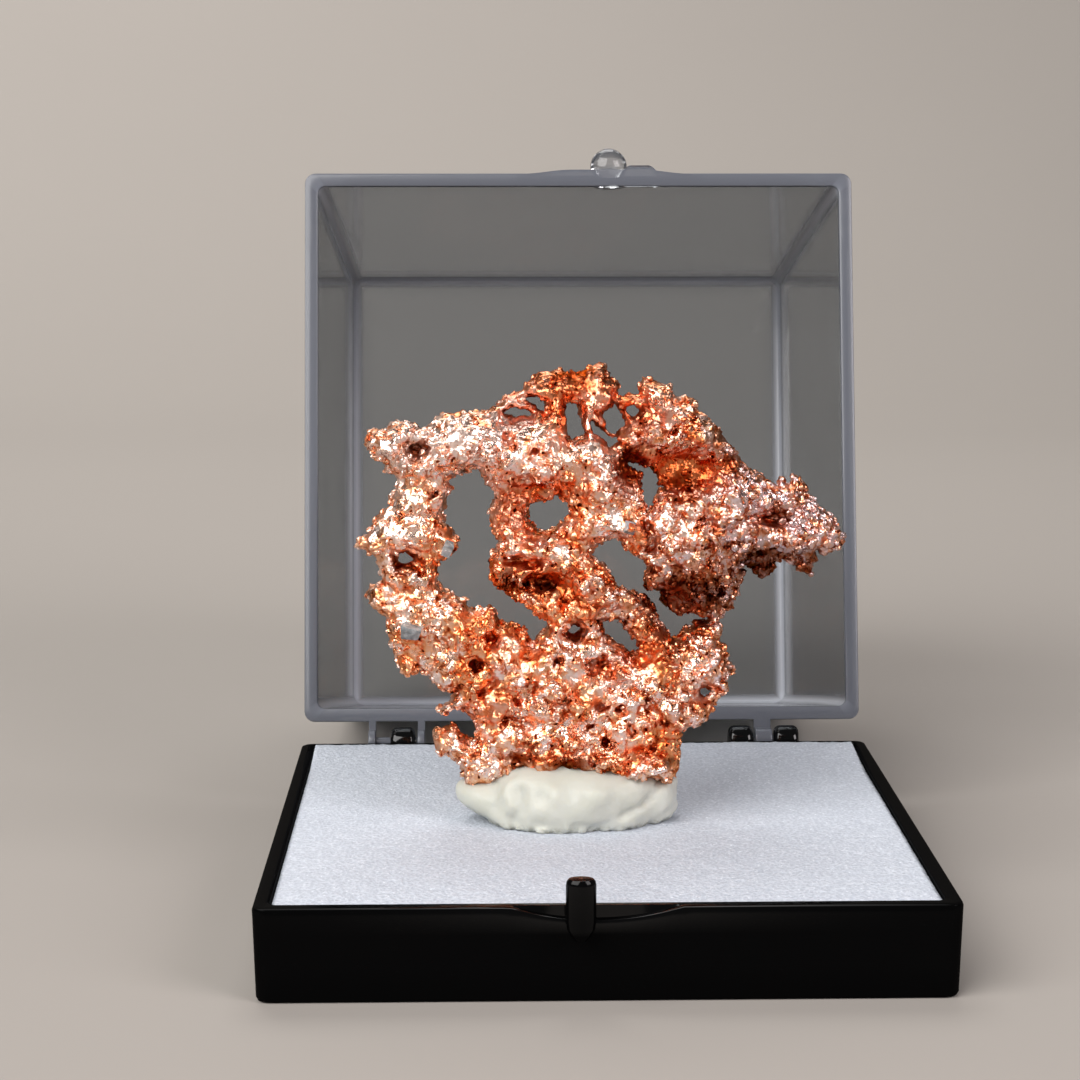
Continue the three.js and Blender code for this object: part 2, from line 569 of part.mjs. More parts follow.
function regionAt(x, z) {
  const sum = { weight: 1e-9, lean: 0, front: 0, back: 0 };
  for (const region of REGIONS) {
    const weight = bell((x - region.x) / REGION_REACH, (z - region.z) / REGION_REACH);
    sum.weight += weight;
    sum.lean += weight * region.lean;
    sum.front += weight * region.front;
    sum.back += weight * region.back;
  }
  const swell = SWELLS.reduce((total, [sx, sz, rx, rz, height]) => {
    return total + height * bell((x - sx) / rx, (z - sz) / rz);
  }, 0);
  return {
    lean: sum.lean / sum.weight,
    front: sum.front / sum.weight + swell,
    back: sum.back / sum.weight,
  };
}

// The X-Z measures are the same all along Y, so they are kept for each place
const columnCache = new Map();
function columnAt(x, z) {
  const key = `${x.toFixed(4)},${z.toFixed(4)}`;
  let column = columnCache.get(key);
  if (!column) {
    column = { inside: insideBy(x, z), ...regionAt(x, z) };
    columnCache.set(key, column);
  }
  return column;
}

// Copper's field: below zero inside the metal, about a millimetre per millimetre
function copperField(x, y, z) {
  const { inside, lean, front, back } = columnAt(x, z);
  const depth = y < lean ? (lean - y) / Math.max(front, 0.9) : (y - lean) / back;
  const edge = Math.max(0, EDGE_ROUND - inside) / EDGE_ROUND;
  const body = (Math.hypot(edge, depth) - 1) * EDGE_ROUND;
  if (body > 3) return body;
  const knobAt = (spacing, seed) => KNOB_MEAN - nearestSeed(x / spacing, y / spacing, z / spacing, seed);
  const big = knobAt(KNOB_SPACING, KNOB_SEED);
  const small = knobAt(SMALL_KNOB_SPACING, SMALL_KNOB_SEED);
  const calm = Math.min(1, Math.max(0.25, inside / EDGE_ROUND));
  return body - calm * (big * KNOB_HEIGHT + small * SMALL_KNOB_HEIGHT);
}

// Putty's field: four pressed lobes blended together, cut flat underneath and open round the copper
function puttyField(x, y, z) {
  let blended = 0;
  for (const { at, size } of PUTTY_LOBES) {
    const parts = [x, y, z].map((v, n) => Math.abs((v - at[n]) / size[n]) ** PUTTY_FULLNESS);
    const reach = (parts[0] + parts[1] + parts[2]) ** (1 / PUTTY_FULLNESS);
    blended += Math.exp(-((reach - 1) * Math.min(...size)) / PUTTY_BLEND);
  }
  const lump = -PUTTY_BLEND * Math.log(blended);
  const room = PUTTY_ROOM - copperField(x, y, z);
  return Math.max(lump, PUTTY_BOTTOM - z, room);
}

// A closed skin round the region where a field is below zero: one vertex for each cell of a grid that
// the surface crosses. Corners that would touch only edge to edge are filled in first.
function skinOf(field, low, high, cell, seedPoint) {
  const size = [0, 1, 2].map((a) => Math.ceil((high[a] - low[a]) / cell) + 1);
  const [nx, ny, nz] = size;
  const at = (i, j, k) => (k * ny + j) * nx + i;
  const place = (i, j, k) => [low[0] + i * cell, low[1] + j * cell, low[2] + k * cell];
  const value = new Float64Array(nx * ny * nz).fill(1);
  for (let k = 1; k + 1 < nz; k++) {
    for (let j = 1; j + 1 < ny; j++) {
      for (let i = 1; i + 1 < nx; i++) value[at(i, j, k)] = field(...place(i, j, k));
    }
  }
  fillTouchingCorners(value, size, at);
  keepOneBody(value, size, at, seedPoint.map((v, a) => Math.round((v - low[a]) / cell)));
  fillTouchingCorners(value, size, at);
  return dualSkin(field, value, size, at, place, cell);
}

function fillTouchingCorners(value, [nx, ny, nz], at) {
  let changed = true;
  const corners = [];
  for (let c = 0; c < 8; c++) corners.push([c & 1, (c >> 1) & 1, (c >> 2) & 1]);
  while (changed) {
    changed = false;
    for (let k = 0; k + 1 < nz; k++) {
      for (let j = 0; j + 1 < ny; j++) {
        for (let i = 0; i + 1 < nx; i++) {
          const cells = corners.map(([a, b, c]) => at(i + a, j + b, k + c));
          const inside = cells.map((c) => value[c] < 0);
          const count = inside.filter(Boolean).length;
          if (count < 2 || count > 6 || !isTouching(inside, count)) continue;
          const open = cells.filter((c, n) => !inside[n]);
          open.sort((a, b) => value[a] - value[b]);
          value[open[0]] = -1e-3;
          changed = true;
        }
      }
    }
  }
}

// True when the filled, or the empty, corners of a cell do not hang together along its edges
function isTouching(inside, count) {
  const joined = (wanted, total) => {
    const first = inside.indexOf(wanted);
    const seen = new Set([first]);
    const queue = [first];
    while (queue.length) {
      const corner = queue.pop();
      for (const bit of [1, 2, 4]) {
        const next = corner ^ bit;
        if (inside[next] === wanted && !seen.has(next)) {
          seen.add(next);
          queue.push(next);
        }
      }
    }
    return seen.size === total;
  };
  return !joined(true, count) || !joined(false, 8 - count);
}

const SIX_WAYS = [[1, 0, 0], [-1, 0, 0], [0, 1, 0], [0, -1, 0], [0, 0, 1], [0, 0, -1]];

// Drops loose crumbs and fills sealed bubbles
function keepOneBody(value, [nx, ny, nz], at, seed) {
  const flood = (start, wanted) => {
    const seen = new Uint8Array(value.length);
    const queue = [start];
    seen[at(...start)] = 1;
    while (queue.length) {
      const [i, j, k] = queue.pop();
      for (const [di, dj, dk] of SIX_WAYS) {
        const [a, b, c] = [i + di, j + dj, k + dk];
        if (a < 0 || b < 0 || c < 0 || a >= nx || b >= ny || c >= nz) continue;
        const n = at(a, b, c);
        if (!seen[n] && value[n] < 0 === wanted) {
          seen[n] = 1;
          queue.push([a, b, c]);
        }
      }
    }
    return seen;
  };
  const body = flood(seed, true);
  value.forEach((v, n) => {
    if (v < 0 && !body[n]) value[n] = 0.3;
  });
  const air = flood([0, 0, 0], false);
  value.forEach((v, n) => {
    if (v >= 0 && !air[n]) value[n] = -0.3;
  });
}

function dualSkin(field, value, [nx, ny, nz], at, place, cell) {
  const vertexOf = new Map();
  const points = [];
  const vertexAt = (i, j, k) => {
    const key = at(i, j, k);
    if (!vertexOf.has(key)) {
      vertexOf.set(key, points.length);
      points.push(settled(i, j, k));
    }
    return vertexOf.get(key);
  };

  // The mean of the crossings on the cell's edges, then two steps towards the surface within the cell
  const settled = (i, j, k) => {
    const sum = [0, 0, 0];
    let count = 0;
    for (let axis = 0; axis < 3; axis++) {
      for (let side = 0; side < 4; side++) {
        const from = [i, j, k];
        from[(axis + 1) % 3] += side & 1;
        from[(axis + 2) % 3] += side >> 1;
        const to = [...from];
        to[axis] += 1;
        const a = value[at(...from)];
        const b = value[at(...to)];
        if (a < 0 === b < 0) continue;
        const share = a / (a - b);
        const p = place(...from);
        p[axis] += share * cell;
        p.forEach((v, n) => (sum[n] += v));
        count += 1;
      }
    }
    let p = sum.map((v) => v / count);
    const middle = place(i + 0.5, j + 0.5, k + 0.5);
    const probe = 0.1;
    for (let step = 0; step < 2; step++) {
      const here = field(...p);
      const slope = [0, 1, 2].map((n) => {
        const q = [...p];
        q[n] += probe;
        return (field(...q) - here) / probe;
      });
      const steep = Math.max(0.3, slope[0] ** 2 + slope[1] ** 2 + slope[2] ** 2);
      p = p.map((v, n) => {
        const moved = v - (here * slope[n]) / steep;
        return Math.min(middle[n] + 0.42 * cell, Math.max(middle[n] - 0.42 * cell, moved));
      });
    }
    return p;
  };

  const index = [];
  const addQuad = (a, b, c, d, flip) => {
    const far = (m, n) => Math.hypot(...points[m].map((v, t) => v - points[n][t]));
    const triangles = far(a, c) < far(b, d) ? [a, b, c, a, c, d] : [a, b, d, b, c, d];
    if (flip) triangles.reverse();
    index.push(...triangles);
  };
  for (let k = 1; k + 1 < nz; k++) {
    for (let j = 1; j + 1 < ny; j++) {
      for (let i = 1; i + 1 < nx; i++) {
        const here = value[at(i, j, k)] < 0;
        for (let axis = 0; axis < 3; axis++) {
          const next = [i, j, k];
          next[axis] += 1;
          if (here === value[at(...next)] < 0) continue;
          const u = (axis + 1) % 3;
          const v = (axis + 2) % 3;
          const around = [[-1, -1], [0, -1], [0, 0], [-1, 0]].map(([du, dv]) => {
            const c = [i, j, k];
            c[u] += du;
            c[v] += dv;
            return vertexAt(...c);
          });
          addQuad(...around, !here);
        }
      }
    }
  }
  const geometry = new THREE.BufferGeometry();
  geometry.setAttribute("position", new THREE.Float32BufferAttribute(points.flat(), 3));
  geometry.setIndex(index);
  return geometry;
}

// A blunt crystal grain; `grow` makes the slightly larger room that it lies in
function grainShape({ at, size, turn }, grow = 0) {
  const geometry = new THREE.IcosahedronGeometry(1, 0);
  geometry.scale(...size.map((s) => s + grow));
  geometry.rotateX(turn[0]);
  geometry.rotateY(turn[1]);
  geometry.rotateZ(turn[2]);
  geometry.translate(...at);
  return solidOf(geometry);
}

function copperNugget() {
  const low = [-28, -8.5, 9.6];
  const high = [29, 9.5, 60.5];
  let nugget = solidOf(skinOf(copperField, low, high, COPPER_CELL, COPPER_START));
  GRAINS.forEach((grain) => {
    nugget = nugget.subtract(grainShape(grain, FIT_GAP));
  });
  const bodies = nugget.decompose();
  bodies.sort((a, b) => b.volume() - a.volume());
  return bodies[0];
}

function puttyLump() {
  const low = [-19, -13, PUTTY_BOTTOM - 2 * PUTTY_CELL];
  const high = [14, 10, 18];
  const skin = solidOf(skinOf(puttyField, low, high, PUTTY_CELL, PUTTY_START));
  const above = block(-20, 20, -15, 15, PUTTY_BOTTOM, 20);
  const bodies = skin.intersect(above).decompose();
  bodies.sort((a, b) => b.volume() - a.volume());
  return bodies[0];
}

const group = new THREE.Group();
group.add(named("box_base", boxBase(), "blackPlastic"));
group.add(openLid());
group.add(named("foam_pad", foamPad(), "foam"));
group.add(named("putty", puttyLump(), "putty"));
group.add(named("copper_nugget", copperNugget(), "copper"));
GRAINS.forEach((grain) => {
  group.add(named(grain.name, grainShape(grain), "quartz"));
});

export default group;
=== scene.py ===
"""Native copper nugget in its display box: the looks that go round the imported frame.

Every object is in metres in the frame's own axes. Shapes are worked out in millimetres and
scaled once, when a mesh is made.
"""
import math
from itertools import product

import bmesh
import bpy
import numpy as np
from bpy.props import FloatProperty, FloatVectorProperty, IntProperty, PointerProperty
from mathutils import Matrix, Vector


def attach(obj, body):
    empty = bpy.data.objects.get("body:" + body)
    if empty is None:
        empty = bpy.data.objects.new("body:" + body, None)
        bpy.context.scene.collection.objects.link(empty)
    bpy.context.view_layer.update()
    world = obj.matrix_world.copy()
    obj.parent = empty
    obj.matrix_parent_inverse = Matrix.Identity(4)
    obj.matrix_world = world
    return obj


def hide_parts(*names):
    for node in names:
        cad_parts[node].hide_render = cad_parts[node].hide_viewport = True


bl_info = {
    "name": "Native copper in a display box",
    "version": (1, 0, 0),
    "blender": (4, 5, 0),
    "location": "View3D > Sidebar > Copper",
    "description": "Builds the copper nugget, its putty and foam, the tray, the lid and the stage",
    "category": "Add Mesh",
}

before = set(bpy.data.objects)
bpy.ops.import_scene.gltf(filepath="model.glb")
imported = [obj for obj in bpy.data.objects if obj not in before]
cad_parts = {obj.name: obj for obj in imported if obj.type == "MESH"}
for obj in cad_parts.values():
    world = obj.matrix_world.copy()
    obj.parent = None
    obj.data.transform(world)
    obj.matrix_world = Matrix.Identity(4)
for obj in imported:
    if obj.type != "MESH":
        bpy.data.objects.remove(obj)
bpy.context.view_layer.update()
MM = 0.001

# Box, as in the frame, in millimetres
BOX_HALF = 34.1
BASE_HEIGHT = 9.5
BASE_DRAFT = 1.3
WALL = 1.65
FLOOR_THICKNESS = 1.8
CORNER_RADIUS = 1.3
CORNER_STEPS = 8
RIM_ROUND = 0.32
LID_DEPTH = 53.0
LID_DRAFT = 1.9
LID_OPEN = 104.0
LID_GAP = 0.25
LID_CORNER_RADIUS = 2.6
LID_CORNER_RISE = 12
LID_RIM = BASE_HEIGHT + LID_GAP
LID_FRONT = -BOX_HALF + 0.6
LINE_SHARE = 1.35
HINGE = (0.0, 36.6, 9.0)
BARREL_RADIUS = 1.8
BARREL_ROUND = 0.75
BARRELS = [(-23.5, -20.5), (17.8, 20.8), (23.4, 26.4)]
EAR_RADIUS = 1.5
EARS = [(-26.2, -25.3), (-20.2, -19.3), (21.05, 23.15)]
PIN_RADIUS = 0.6
PINS = [(-25.6, -22.9), (-21.2, -19.9), (19.6, 24.6)]
STRUT = (-25.1, -23.3)
STRUT_TOP = 8.3
WEB_BOTTOM = 6.9
POST = {"x": -2.75, "half_width": 1.45, "half_depth": 1.1, "bottom": 7.6, "top": 12.8}
SCOOP = {"x": -1.2, "half_width": 8.2, "depth": 1.25, "inward": 0.65}
STUB = {"x": 3.8, "radius": 2.3, "proud": 3.5, "height": 3.6}
SHOULDER = {"x": 7.6, "half_width": 2.8, "proud": 1.0, "height": 2.2}
LIP = {"x": 3.4, "half_width": 10.6, "proud": 0.45, "height": 1.7}
FOAM_TOP = 9.3
FOAM_GAP = 0.12
FOAM_COUNT = 170
FOAM_CROWN = 0.25
FOAM_SETTLED = 0.2
FOAM_BACK_RISE = 0.62

# Putty lobes: middle, half sizes, and how far down each reaches
PUTTY_BOTTOM = 9.25
PUTTY_BLEND = 0.16
PUTTY_FULLNESS = 2.6
PUTTY_CELL = 0.4
PUTTY_LOW = (-18.0, -11.5, 8.4)
PUTTY_HIGH = (13.0, 8.5, 17.0)
PUTTY_LOBES = [
    ((-2.8, -0.6, 12.5), (9.5, 7.6, 3.5), 5.0),
    ((-11.3, -1.0, 12.2), (3.5, 3.4, 1.7), 2.1),
    ((5.6, -0.6, 12.2), (3.5, 3.9, 2.4), 3.0),
    ((1.2, -2.9, 12.3), (4.9, 4.3, 3.0), 4.0),
]

# Copper outline in the X-Z plane, round the edge, then the gaps that go right through
OUTLINE = [
    (-25.6, 39.5), (-25.2, 40.1), (-24.3, 40.2), (-23.9, 41.0), (-23.2, 42.2), (-22.3, 43.2),
    (-21.9, 44.2), (-21.4, 45.2), (-20.9, 46.2), (-21.5, 46.7), (-22.5, 46.8), (-22.4, 48.0),
    (-23.4, 48.4), (-24.0, 49.4), (-24.4, 50.4), (-23.8, 51.4), (-22.2, 51.6), (-21.2, 52.5),
    (-19.6, 52.4), (-18.3, 51.6), (-17.2, 52.2), (-16.2, 53.2), (-15.0, 53.1), (-13.4, 53.5),
    (-11.6, 53.4), (-10.4, 54.0), (-9.5, 55.1), (-8.0, 55.4), (-7.2, 56.4), (-6.0, 57.3),
    (-4.6, 57.5), (-3.7, 57.8), (-2.6, 57.2), (-1.4, 57.5), (-0.2, 58.3), (1.3, 58.2),
    (1.5, 57.1), (2.6, 56.1), (2.4, 54.8), (3.4, 54.9), (4.8, 54.8), (4.4, 55.7),
    (4.8, 56.6), (6.0, 56.7), (7.2, 56.2), (8.3, 55.7), (8.7, 54.8), (10.1, 54.9),
    (10.7, 54.2), (10.9, 53.1), (12.2, 52.4), (13.1, 51.4), (13.8, 50.1), (14.8, 48.8),
    (15.7, 47.3), (17.0, 46.7), (18.3, 46.1), (18.5, 45.3), (19.4, 45.2), (20.0, 45.8),
    (20.8, 45.1), (21.3, 46.2), (21.8, 46.0), (22.3, 44.6), (23.6, 43.4), (24.9, 42.2),
    (26.1, 40.8), (26.9, 39.6), (26.6, 38.6), (25.6, 37.6), (24.5, 37.5), (23.8, 37.9),
    (23.6, 36.2), (23.4, 35.1), (22.4, 35.2), (21.7, 36.1), (21.5, 36.9), (19.6, 36.8),
    (19.1, 35.4), (18.2, 34.8), (17.4, 35.1), (16.7, 36.3), (16.1, 36.7), (16.0, 35.2),
    (15.7, 33.9), (15.0, 32.7), (14.2, 31.3), (13.2, 30.5), (13.9, 29.4), (13.4, 28.3),
    (14.1, 27.4), (14.2, 26.3), (15.0, 25.6), (14.9, 24.9), (13.9, 24.3), (14.6, 23.5),
    (14.3, 22.8), (13.1, 21.9), (12.5, 20.9), (11.9, 20.0), (10.6, 19.3), (9.3, 19.1),
    (9.1, 17.2), (9.0, 15.4), (8.6, 14.0), (8.0, 12.9), (7.2, 12.9), (6.4, 13.7),
    (5.2, 13.2), (4.4, 11.4), (-7.0, 11.4), (-8.6, 13.6), (-10.0, 13.8), (-11.2, 13.1),
    (-12.0, 12.7), (-12.6, 13.1), (-12.8, 12.1), (-13.3, 12.1), (-13.6, 13.2), (-14.5, 14.6),
    (-14.8, 15.4), (-15.8, 16.5), (-17.0, 16.2), (-17.3, 17.5), (-17.6, 19.0), (-17.2, 19.6),
    (-15.9, 19.7), (-15.3, 20.1), (-14.9, 19.9), (-14.4, 18.9), (-13.5, 18.2), (-12.5, 18.3),
    (-13.1, 20.0), (-14.0, 21.6), (-15.2, 21.6), (-16.3, 20.8), (-17.0, 21.2), (-16.2, 22.2),
    (-15.1, 23.0), (-14.9, 23.6), (-16.5, 23.7), (-17.1, 24.3), (-17.7, 25.3), (-18.8, 26.0),
    (-19.2, 25.4), (-20.1, 24.9), (-20.9, 25.6), (-21.4, 27.3), (-22.1, 28.7), (-22.3, 30.0),
    (-22.1, 31.4), (-22.9, 31.9), (-24.2, 32.8), (-24.7, 33.9), (-24.2, 34.8), (-22.7, 35.4),
    (-23.0, 36.8), (-23.6, 38.1), (-24.4, 38.6), (-25.3, 38.8),
]
COLUMN_GAP = [
    (-12.7, 47.5), (-11.8, 46.2), (-10.8, 45.0), (-10.5, 44.3), (-10.9, 43.5), (-11.5, 42.8),
    (-11.1, 41.5), (-11.2, 40.4), (-10.5, 39.5), (-10.6, 39.0), (-11.2, 38.4), (-11.6, 37.0),
    (-11.2, 35.7), (-10.9, 34.7), (-9.7, 34.0), (-8.6, 33.5), (-7.3, 32.5), (-6.2, 31.6),
    (-5.4, 31.1), (-5.2, 30.3), (-6.0, 29.7), (-6.8, 28.5), (-7.2, 29.2), (-7.5, 30.9),
    (-8.0, 30.2), (-8.8, 30.9), (-10.3, 31.1), (-10.6, 32.2), (-11.4, 32.8), (-12.2, 32.3),
    (-12.4, 33.2), (-13.0, 32.3), (-13.6, 32.7), (-13.8, 34.0), (-14.2, 33.4), (-15.4, 34.0),
    (-16.3, 34.5), (-16.7, 35.2), (-16.6, 36.6), (-16.3, 37.5), (-15.2, 38.0), (-14.5, 38.8),
    (-14.6, 39.7), (-15.0, 40.7), (-15.9, 41.6), (-16.1, 42.4), (-15.8, 43.6), (-15.5, 44.5),
    (-15.0, 45.1), (-15.4, 45.9), (-13.6, 46.7),
]
ARM_GAP = [
    (2.0, 40.0), (2.9, 39.5), (3.7, 38.5), (5.0, 37.5), (5.6, 36.8), (5.1, 36.0),
    (5.1, 34.8), (5.8, 34.2), (6.8, 34.0), (7.3, 33.0), (7.8, 31.9), (9.0, 31.3),
    (10.3, 31.4), (11.3, 30.8), (12.0, 30.5), (11.0, 30.1), (9.8, 29.8), (8.9, 28.9),
    (8.0, 29.0), (7.3, 30.2), (6.6, 31.4), (6.2, 32.5), (5.3, 33.3), (4.4, 34.0),
    (3.0, 34.6), (1.9, 35.3), (1.4, 36.5), (1.0, 37.5), (0.2, 37.4), (-0.6, 38.0),
    (0.2, 39.1), (1.2, 39.7),
]
OVAL_HOLE = [
    (-7.4, 42.9), (-6.8, 43.6), (-5.2, 43.9), (-4.1, 44.4), (-3.2, 44.0), (-2.9, 43.0),
    (-3.4, 42.0), (-4.2, 41.1), (-5.1, 40.7), (-6.3, 40.7), (-6.8, 41.4), (-7.0, 42.1),
]
UPPER_SLIT = [
    (3.5, 47.7), (4.6, 47.6), (5.9, 47.1), (6.5, 46.2), (7.3, 45.1), (6.6, 44.6),
    (6.2, 43.3), (5.8, 42.9), (5.2, 42.9), (5.1, 44.0), (4.9, 45.4), (4.7, 46.4), (4.1, 47.1),
]
LOWER_SLIT = [
    (0.5, 31.0), (1.8, 31.1), (3.0, 31.1), (2.9, 30.5), (3.6, 29.6), (4.4, 28.7),
    (4.5, 27.4), (3.9, 27.4), (2.9, 28.1), (2.1, 28.8), (0.9, 29.5), (0.6, 30.3),
]
SMALL_HOLES = [
    [(1.1, 53.0), (2.0, 53.6), (2.7, 52.9), (2.9, 51.9), (2.0, 51.1), (1.2, 51.7)],
    [(-3.0, 53.7), (-2.1, 53.6), (-1.8, 52.2), (-1.4, 51.2), (-2.5, 50.8), (-2.8, 52.0)],
    [(-9.4, 53.1), (-8.6, 53.6), (-7.3, 53.5), (-7.3, 53.0), (-8.6, 52.9)],
    [(-7.7, 54.6), (-6.7, 54.6), (-5.7, 54.1), (-5.7, 53.5), (-6.6, 54.0)],
    [(3.4, 53.3), (3.9, 53.6), (4.4, 53.2), (4.0, 52.7)],
    [(-0.2, 51.8), (0.4, 51.3), (1.0, 50.7), (1.9, 50.2), (1.4, 49.9), (0.6, 50.6), (-0.1, 51.1)],
    [(-3.2, 30.0), (-2.2, 30.5), (-1.5, 30.1), (-2.2, 29.7)],
    [(-21.0, 38.0), (-20.3, 38.2), (-19.6, 37.8), (-20.0, 37.2), (-20.8, 37.3)],
    [(11.4, 22.9), (12.0, 23.2), (12.4, 22.8), (11.9, 22.3)],
]
HOLE_GROWTH = 1.25
BARE_MARGIN = 0.75

# Copper regions: x, z, lean back, thickness in front, thickness behind
REGIONS = np.array([
    (-22, 50, 0.2, 3.2, 3.0), (-15, 50, -0.6, 3.6, 3.2), (-19, 44, 0.6, 3.2, 3.0),
    (-20, 37, 0.0, 3.4, 3.2), (-20, 29, -0.8, 3.4, 3.0), (-8, 55, 1.8, 2.2, 2.4),
    (0, 56, 2.0, 2.4, 2.4), (-7, 49, -0.8, 4.0, 3.4), (0, 48, -1.0, 4.0, 3.4),
    (-10, 42, 0.8, 2.6, 2.8), (1, 43, -0.4, 3.8, 3.2), (-8, 37, -0.4, 4.2, 3.2),
    (-2, 36, -0.6, 4.0, 3.4), (4, 32, -0.6, 3.4, 3.2), (-14, 28, -0.8, 4.0, 3.6),
    (-4, 26, -0.6, 4.8, 4.2), (5, 25, -0.4, 4.8, 4.2), (12, 26, 1.2, 3.4, 3.6),
    (-10, 20, -0.4, 4.2, 4.0), (-16, 18, -1.4, 2.8, 2.6), (-3, 18, -0.6, 5.0, 4.4),
    (6, 18, -0.6, 4.4, 4.2), (5, 53, 1.4, 2.8, 2.8), (10, 51, 0.8, 3.8, 3.4),
    (9, 46, 1.0, 3.4, 3.6), (9, 40, -0.4, 4.8, 4.0), (15, 43, 0.8, 4.2, 3.8),
    (20, 41, 2.2, 3.2, 3.0), (25, 40, 3.2, 2.4, 2.4), (18, 36, 3.4, 2.4, 2.8),
    (11, 34, 2.6, 3.4, 3.8),
], dtype=np.float32)
REGION_REACH = 3.4
EDGE_ROUND = 2.7
LEAST_FRONT = 0.9

# Copper swellings and sinks of the front: x, z, reach across, reach up, height
SWELLS = np.array([
    (-21.6, 50.2, 2.4, 1.6, 0.8), (-14.5, 49.6, 4.2, 2.0, 0.9), (-18.8, 49.5, 0.9, 0.9, -1.6),
    (-14.2, 46.9, 1.8, 0.7, -1.4), (-19.2, 41.2, 3.4, 1.3, 0.9), (-18.4, 36.2, 1.6, 1.4, 0.8),
    (-21.2, 34.6, 2.4, 0.7, -0.9), (-18.2, 27.6, 1.6, 1.6, -1.5), (-6.4, 49.2, 4.6, 2.6, 1.0),
    (-5.6, 45.4, 3.4, 0.9, -2.0), (1.2, 47.4, 1.3, 2.8, 1.2), (3.2, 47.7, 1.0, 1.3, -3.6),
    (1.6, 43.0, 2.2, 0.9, -1.5), (-9.6, 41.4, 1.3, 1.6, 0.8), (-7.6, 39.2, 2.8, 0.7, 1.0),
    (-8.2, 37.7, 1.7, 0.5, -1.8), (-5.2, 35.4, 1.8, 0.8, -2.8), (-9.3, 35.2, 0.5, 1.1, -1.7),
    (-3.2, 37.2, 2.4, 0.8, 0.9), (-0.8, 35.8, 1.6, 1.5, 0.9), (2.6, 32.4, 1.7, 0.6, -1.3),
    (5.2, 30.8, 1.4, 2.0, 0.6), (7.6, 50.9, 3.6, 1.0, 1.0), (9.4, 47.0, 2.9, 1.7, -3.6),
    (9.0, 43.4, 2.6, 1.3, 0.8), (7.4, 42.6, 0.7, 2.2, 1.2), (5.7, 39.2, 0.7, 0.9, -2.0),
    (14.4, 45.0, 2.0, 2.2, 0.8), (18.6, 41.9, 2.0, 0.6, -2.2), (21.6, 40.4, 1.8, 1.6, 0.9),
    (12.4, 38.2, 2.6, 1.4, 0.8), (10.9, 34.4, 0.7, 1.3, 1.3), (8.4, 33.5, 1.4, 1.2, -1.6),
    (-15.0, 29.6, 3.2, 2.2, 0.8), (-12.6, 26.7, 0.6, 0.6, -1.7), (-11.1, 29.5, 0.6, 0.6, -1.4),
    (-8.6, 25.2, 2.4, 0.5, 0.9), (-2.6, 23.4, 2.1, 1.5, 0.9), (-5.6, 20.2, 4.0, 0.6, -1.0),
    (0.8, 24.4, 0.8, 2.6, -1.2), (6.6, 20.0, 2.2, 2.2, 0.9), (4.4, 15.6, 3.4, 0.8, 0.9),
    (-2.4, 14.7, 1.7, 0.8, -2.0), (-7.8, 15.2, 1.2, 0.5, -1.8), (-0.2, 26.7, 0.9, 0.6, -1.6),
    (9.4, 26.6, 2.4, 1.8, 0.7), (11.9, 23.0, 0.8, 0.8, -2.0),
], dtype=np.float32)

# Deep small pits of the front: x, z, radius
PITS = np.array([
    (8.1, 51.3, 0.40), (5.8, 39.0, 0.55), (5.3, 41.3, 0.45), (0.4, 22.2, 0.45), (2.4, 22.0, 0.5),
    (-0.5, 20.2, 0.3), (3.8, 19.6, 0.4), (1.0, 18.3, 0.6), (-0.2, 26.7, 0.6), (-12.6, 26.7, 0.5),
    (-11.2, 29.5, 0.5), (-9.3, 50.5, 0.5), (-6.5, 49.6, 0.35), (-18.8, 49.6, 0.7),
    (-18.5, 37.0, 0.45), (-17.0, 45.0, 0.35), (-15.5, 44.8, 0.35), (8.8, 45.5, 0.8),
    (10.9, 41.9, 0.4), (-7.6, 35.0, 0.35), (13.6, 33.9, 0.4), (-4.4, 27.2, 0.35),
], dtype=np.float32)
PIT_DEPTH = 2.2

# Copper knobs, as in the frame, and the finer grain that grows on them: spacing, height, seed
KNOBS = [(3.1, 1.5, 11), (1.7, 0.7, 5)]
KNOB_MEAN = 0.42
GRAINS_OF_METAL = [(0.95, 0.5, 23), (0.52, 0.3, 31)]
FACET_SPACING = 1.25
FACET_TILT = 0.55
WARP_SCALE = 2.1
WARP_REACH = 0.45
COPPER_CELL = 0.3
SLOPE_PROBE = 0.06
COPPER_LOW = (-28.0, -8.6, 9.8)
COPPER_HIGH = (29.0, 9.4, 60.4)
COARSE_BAND = (-2.7, 2.0)
FINE_BAND = 1.0
WELL_OUTSIDE = 3

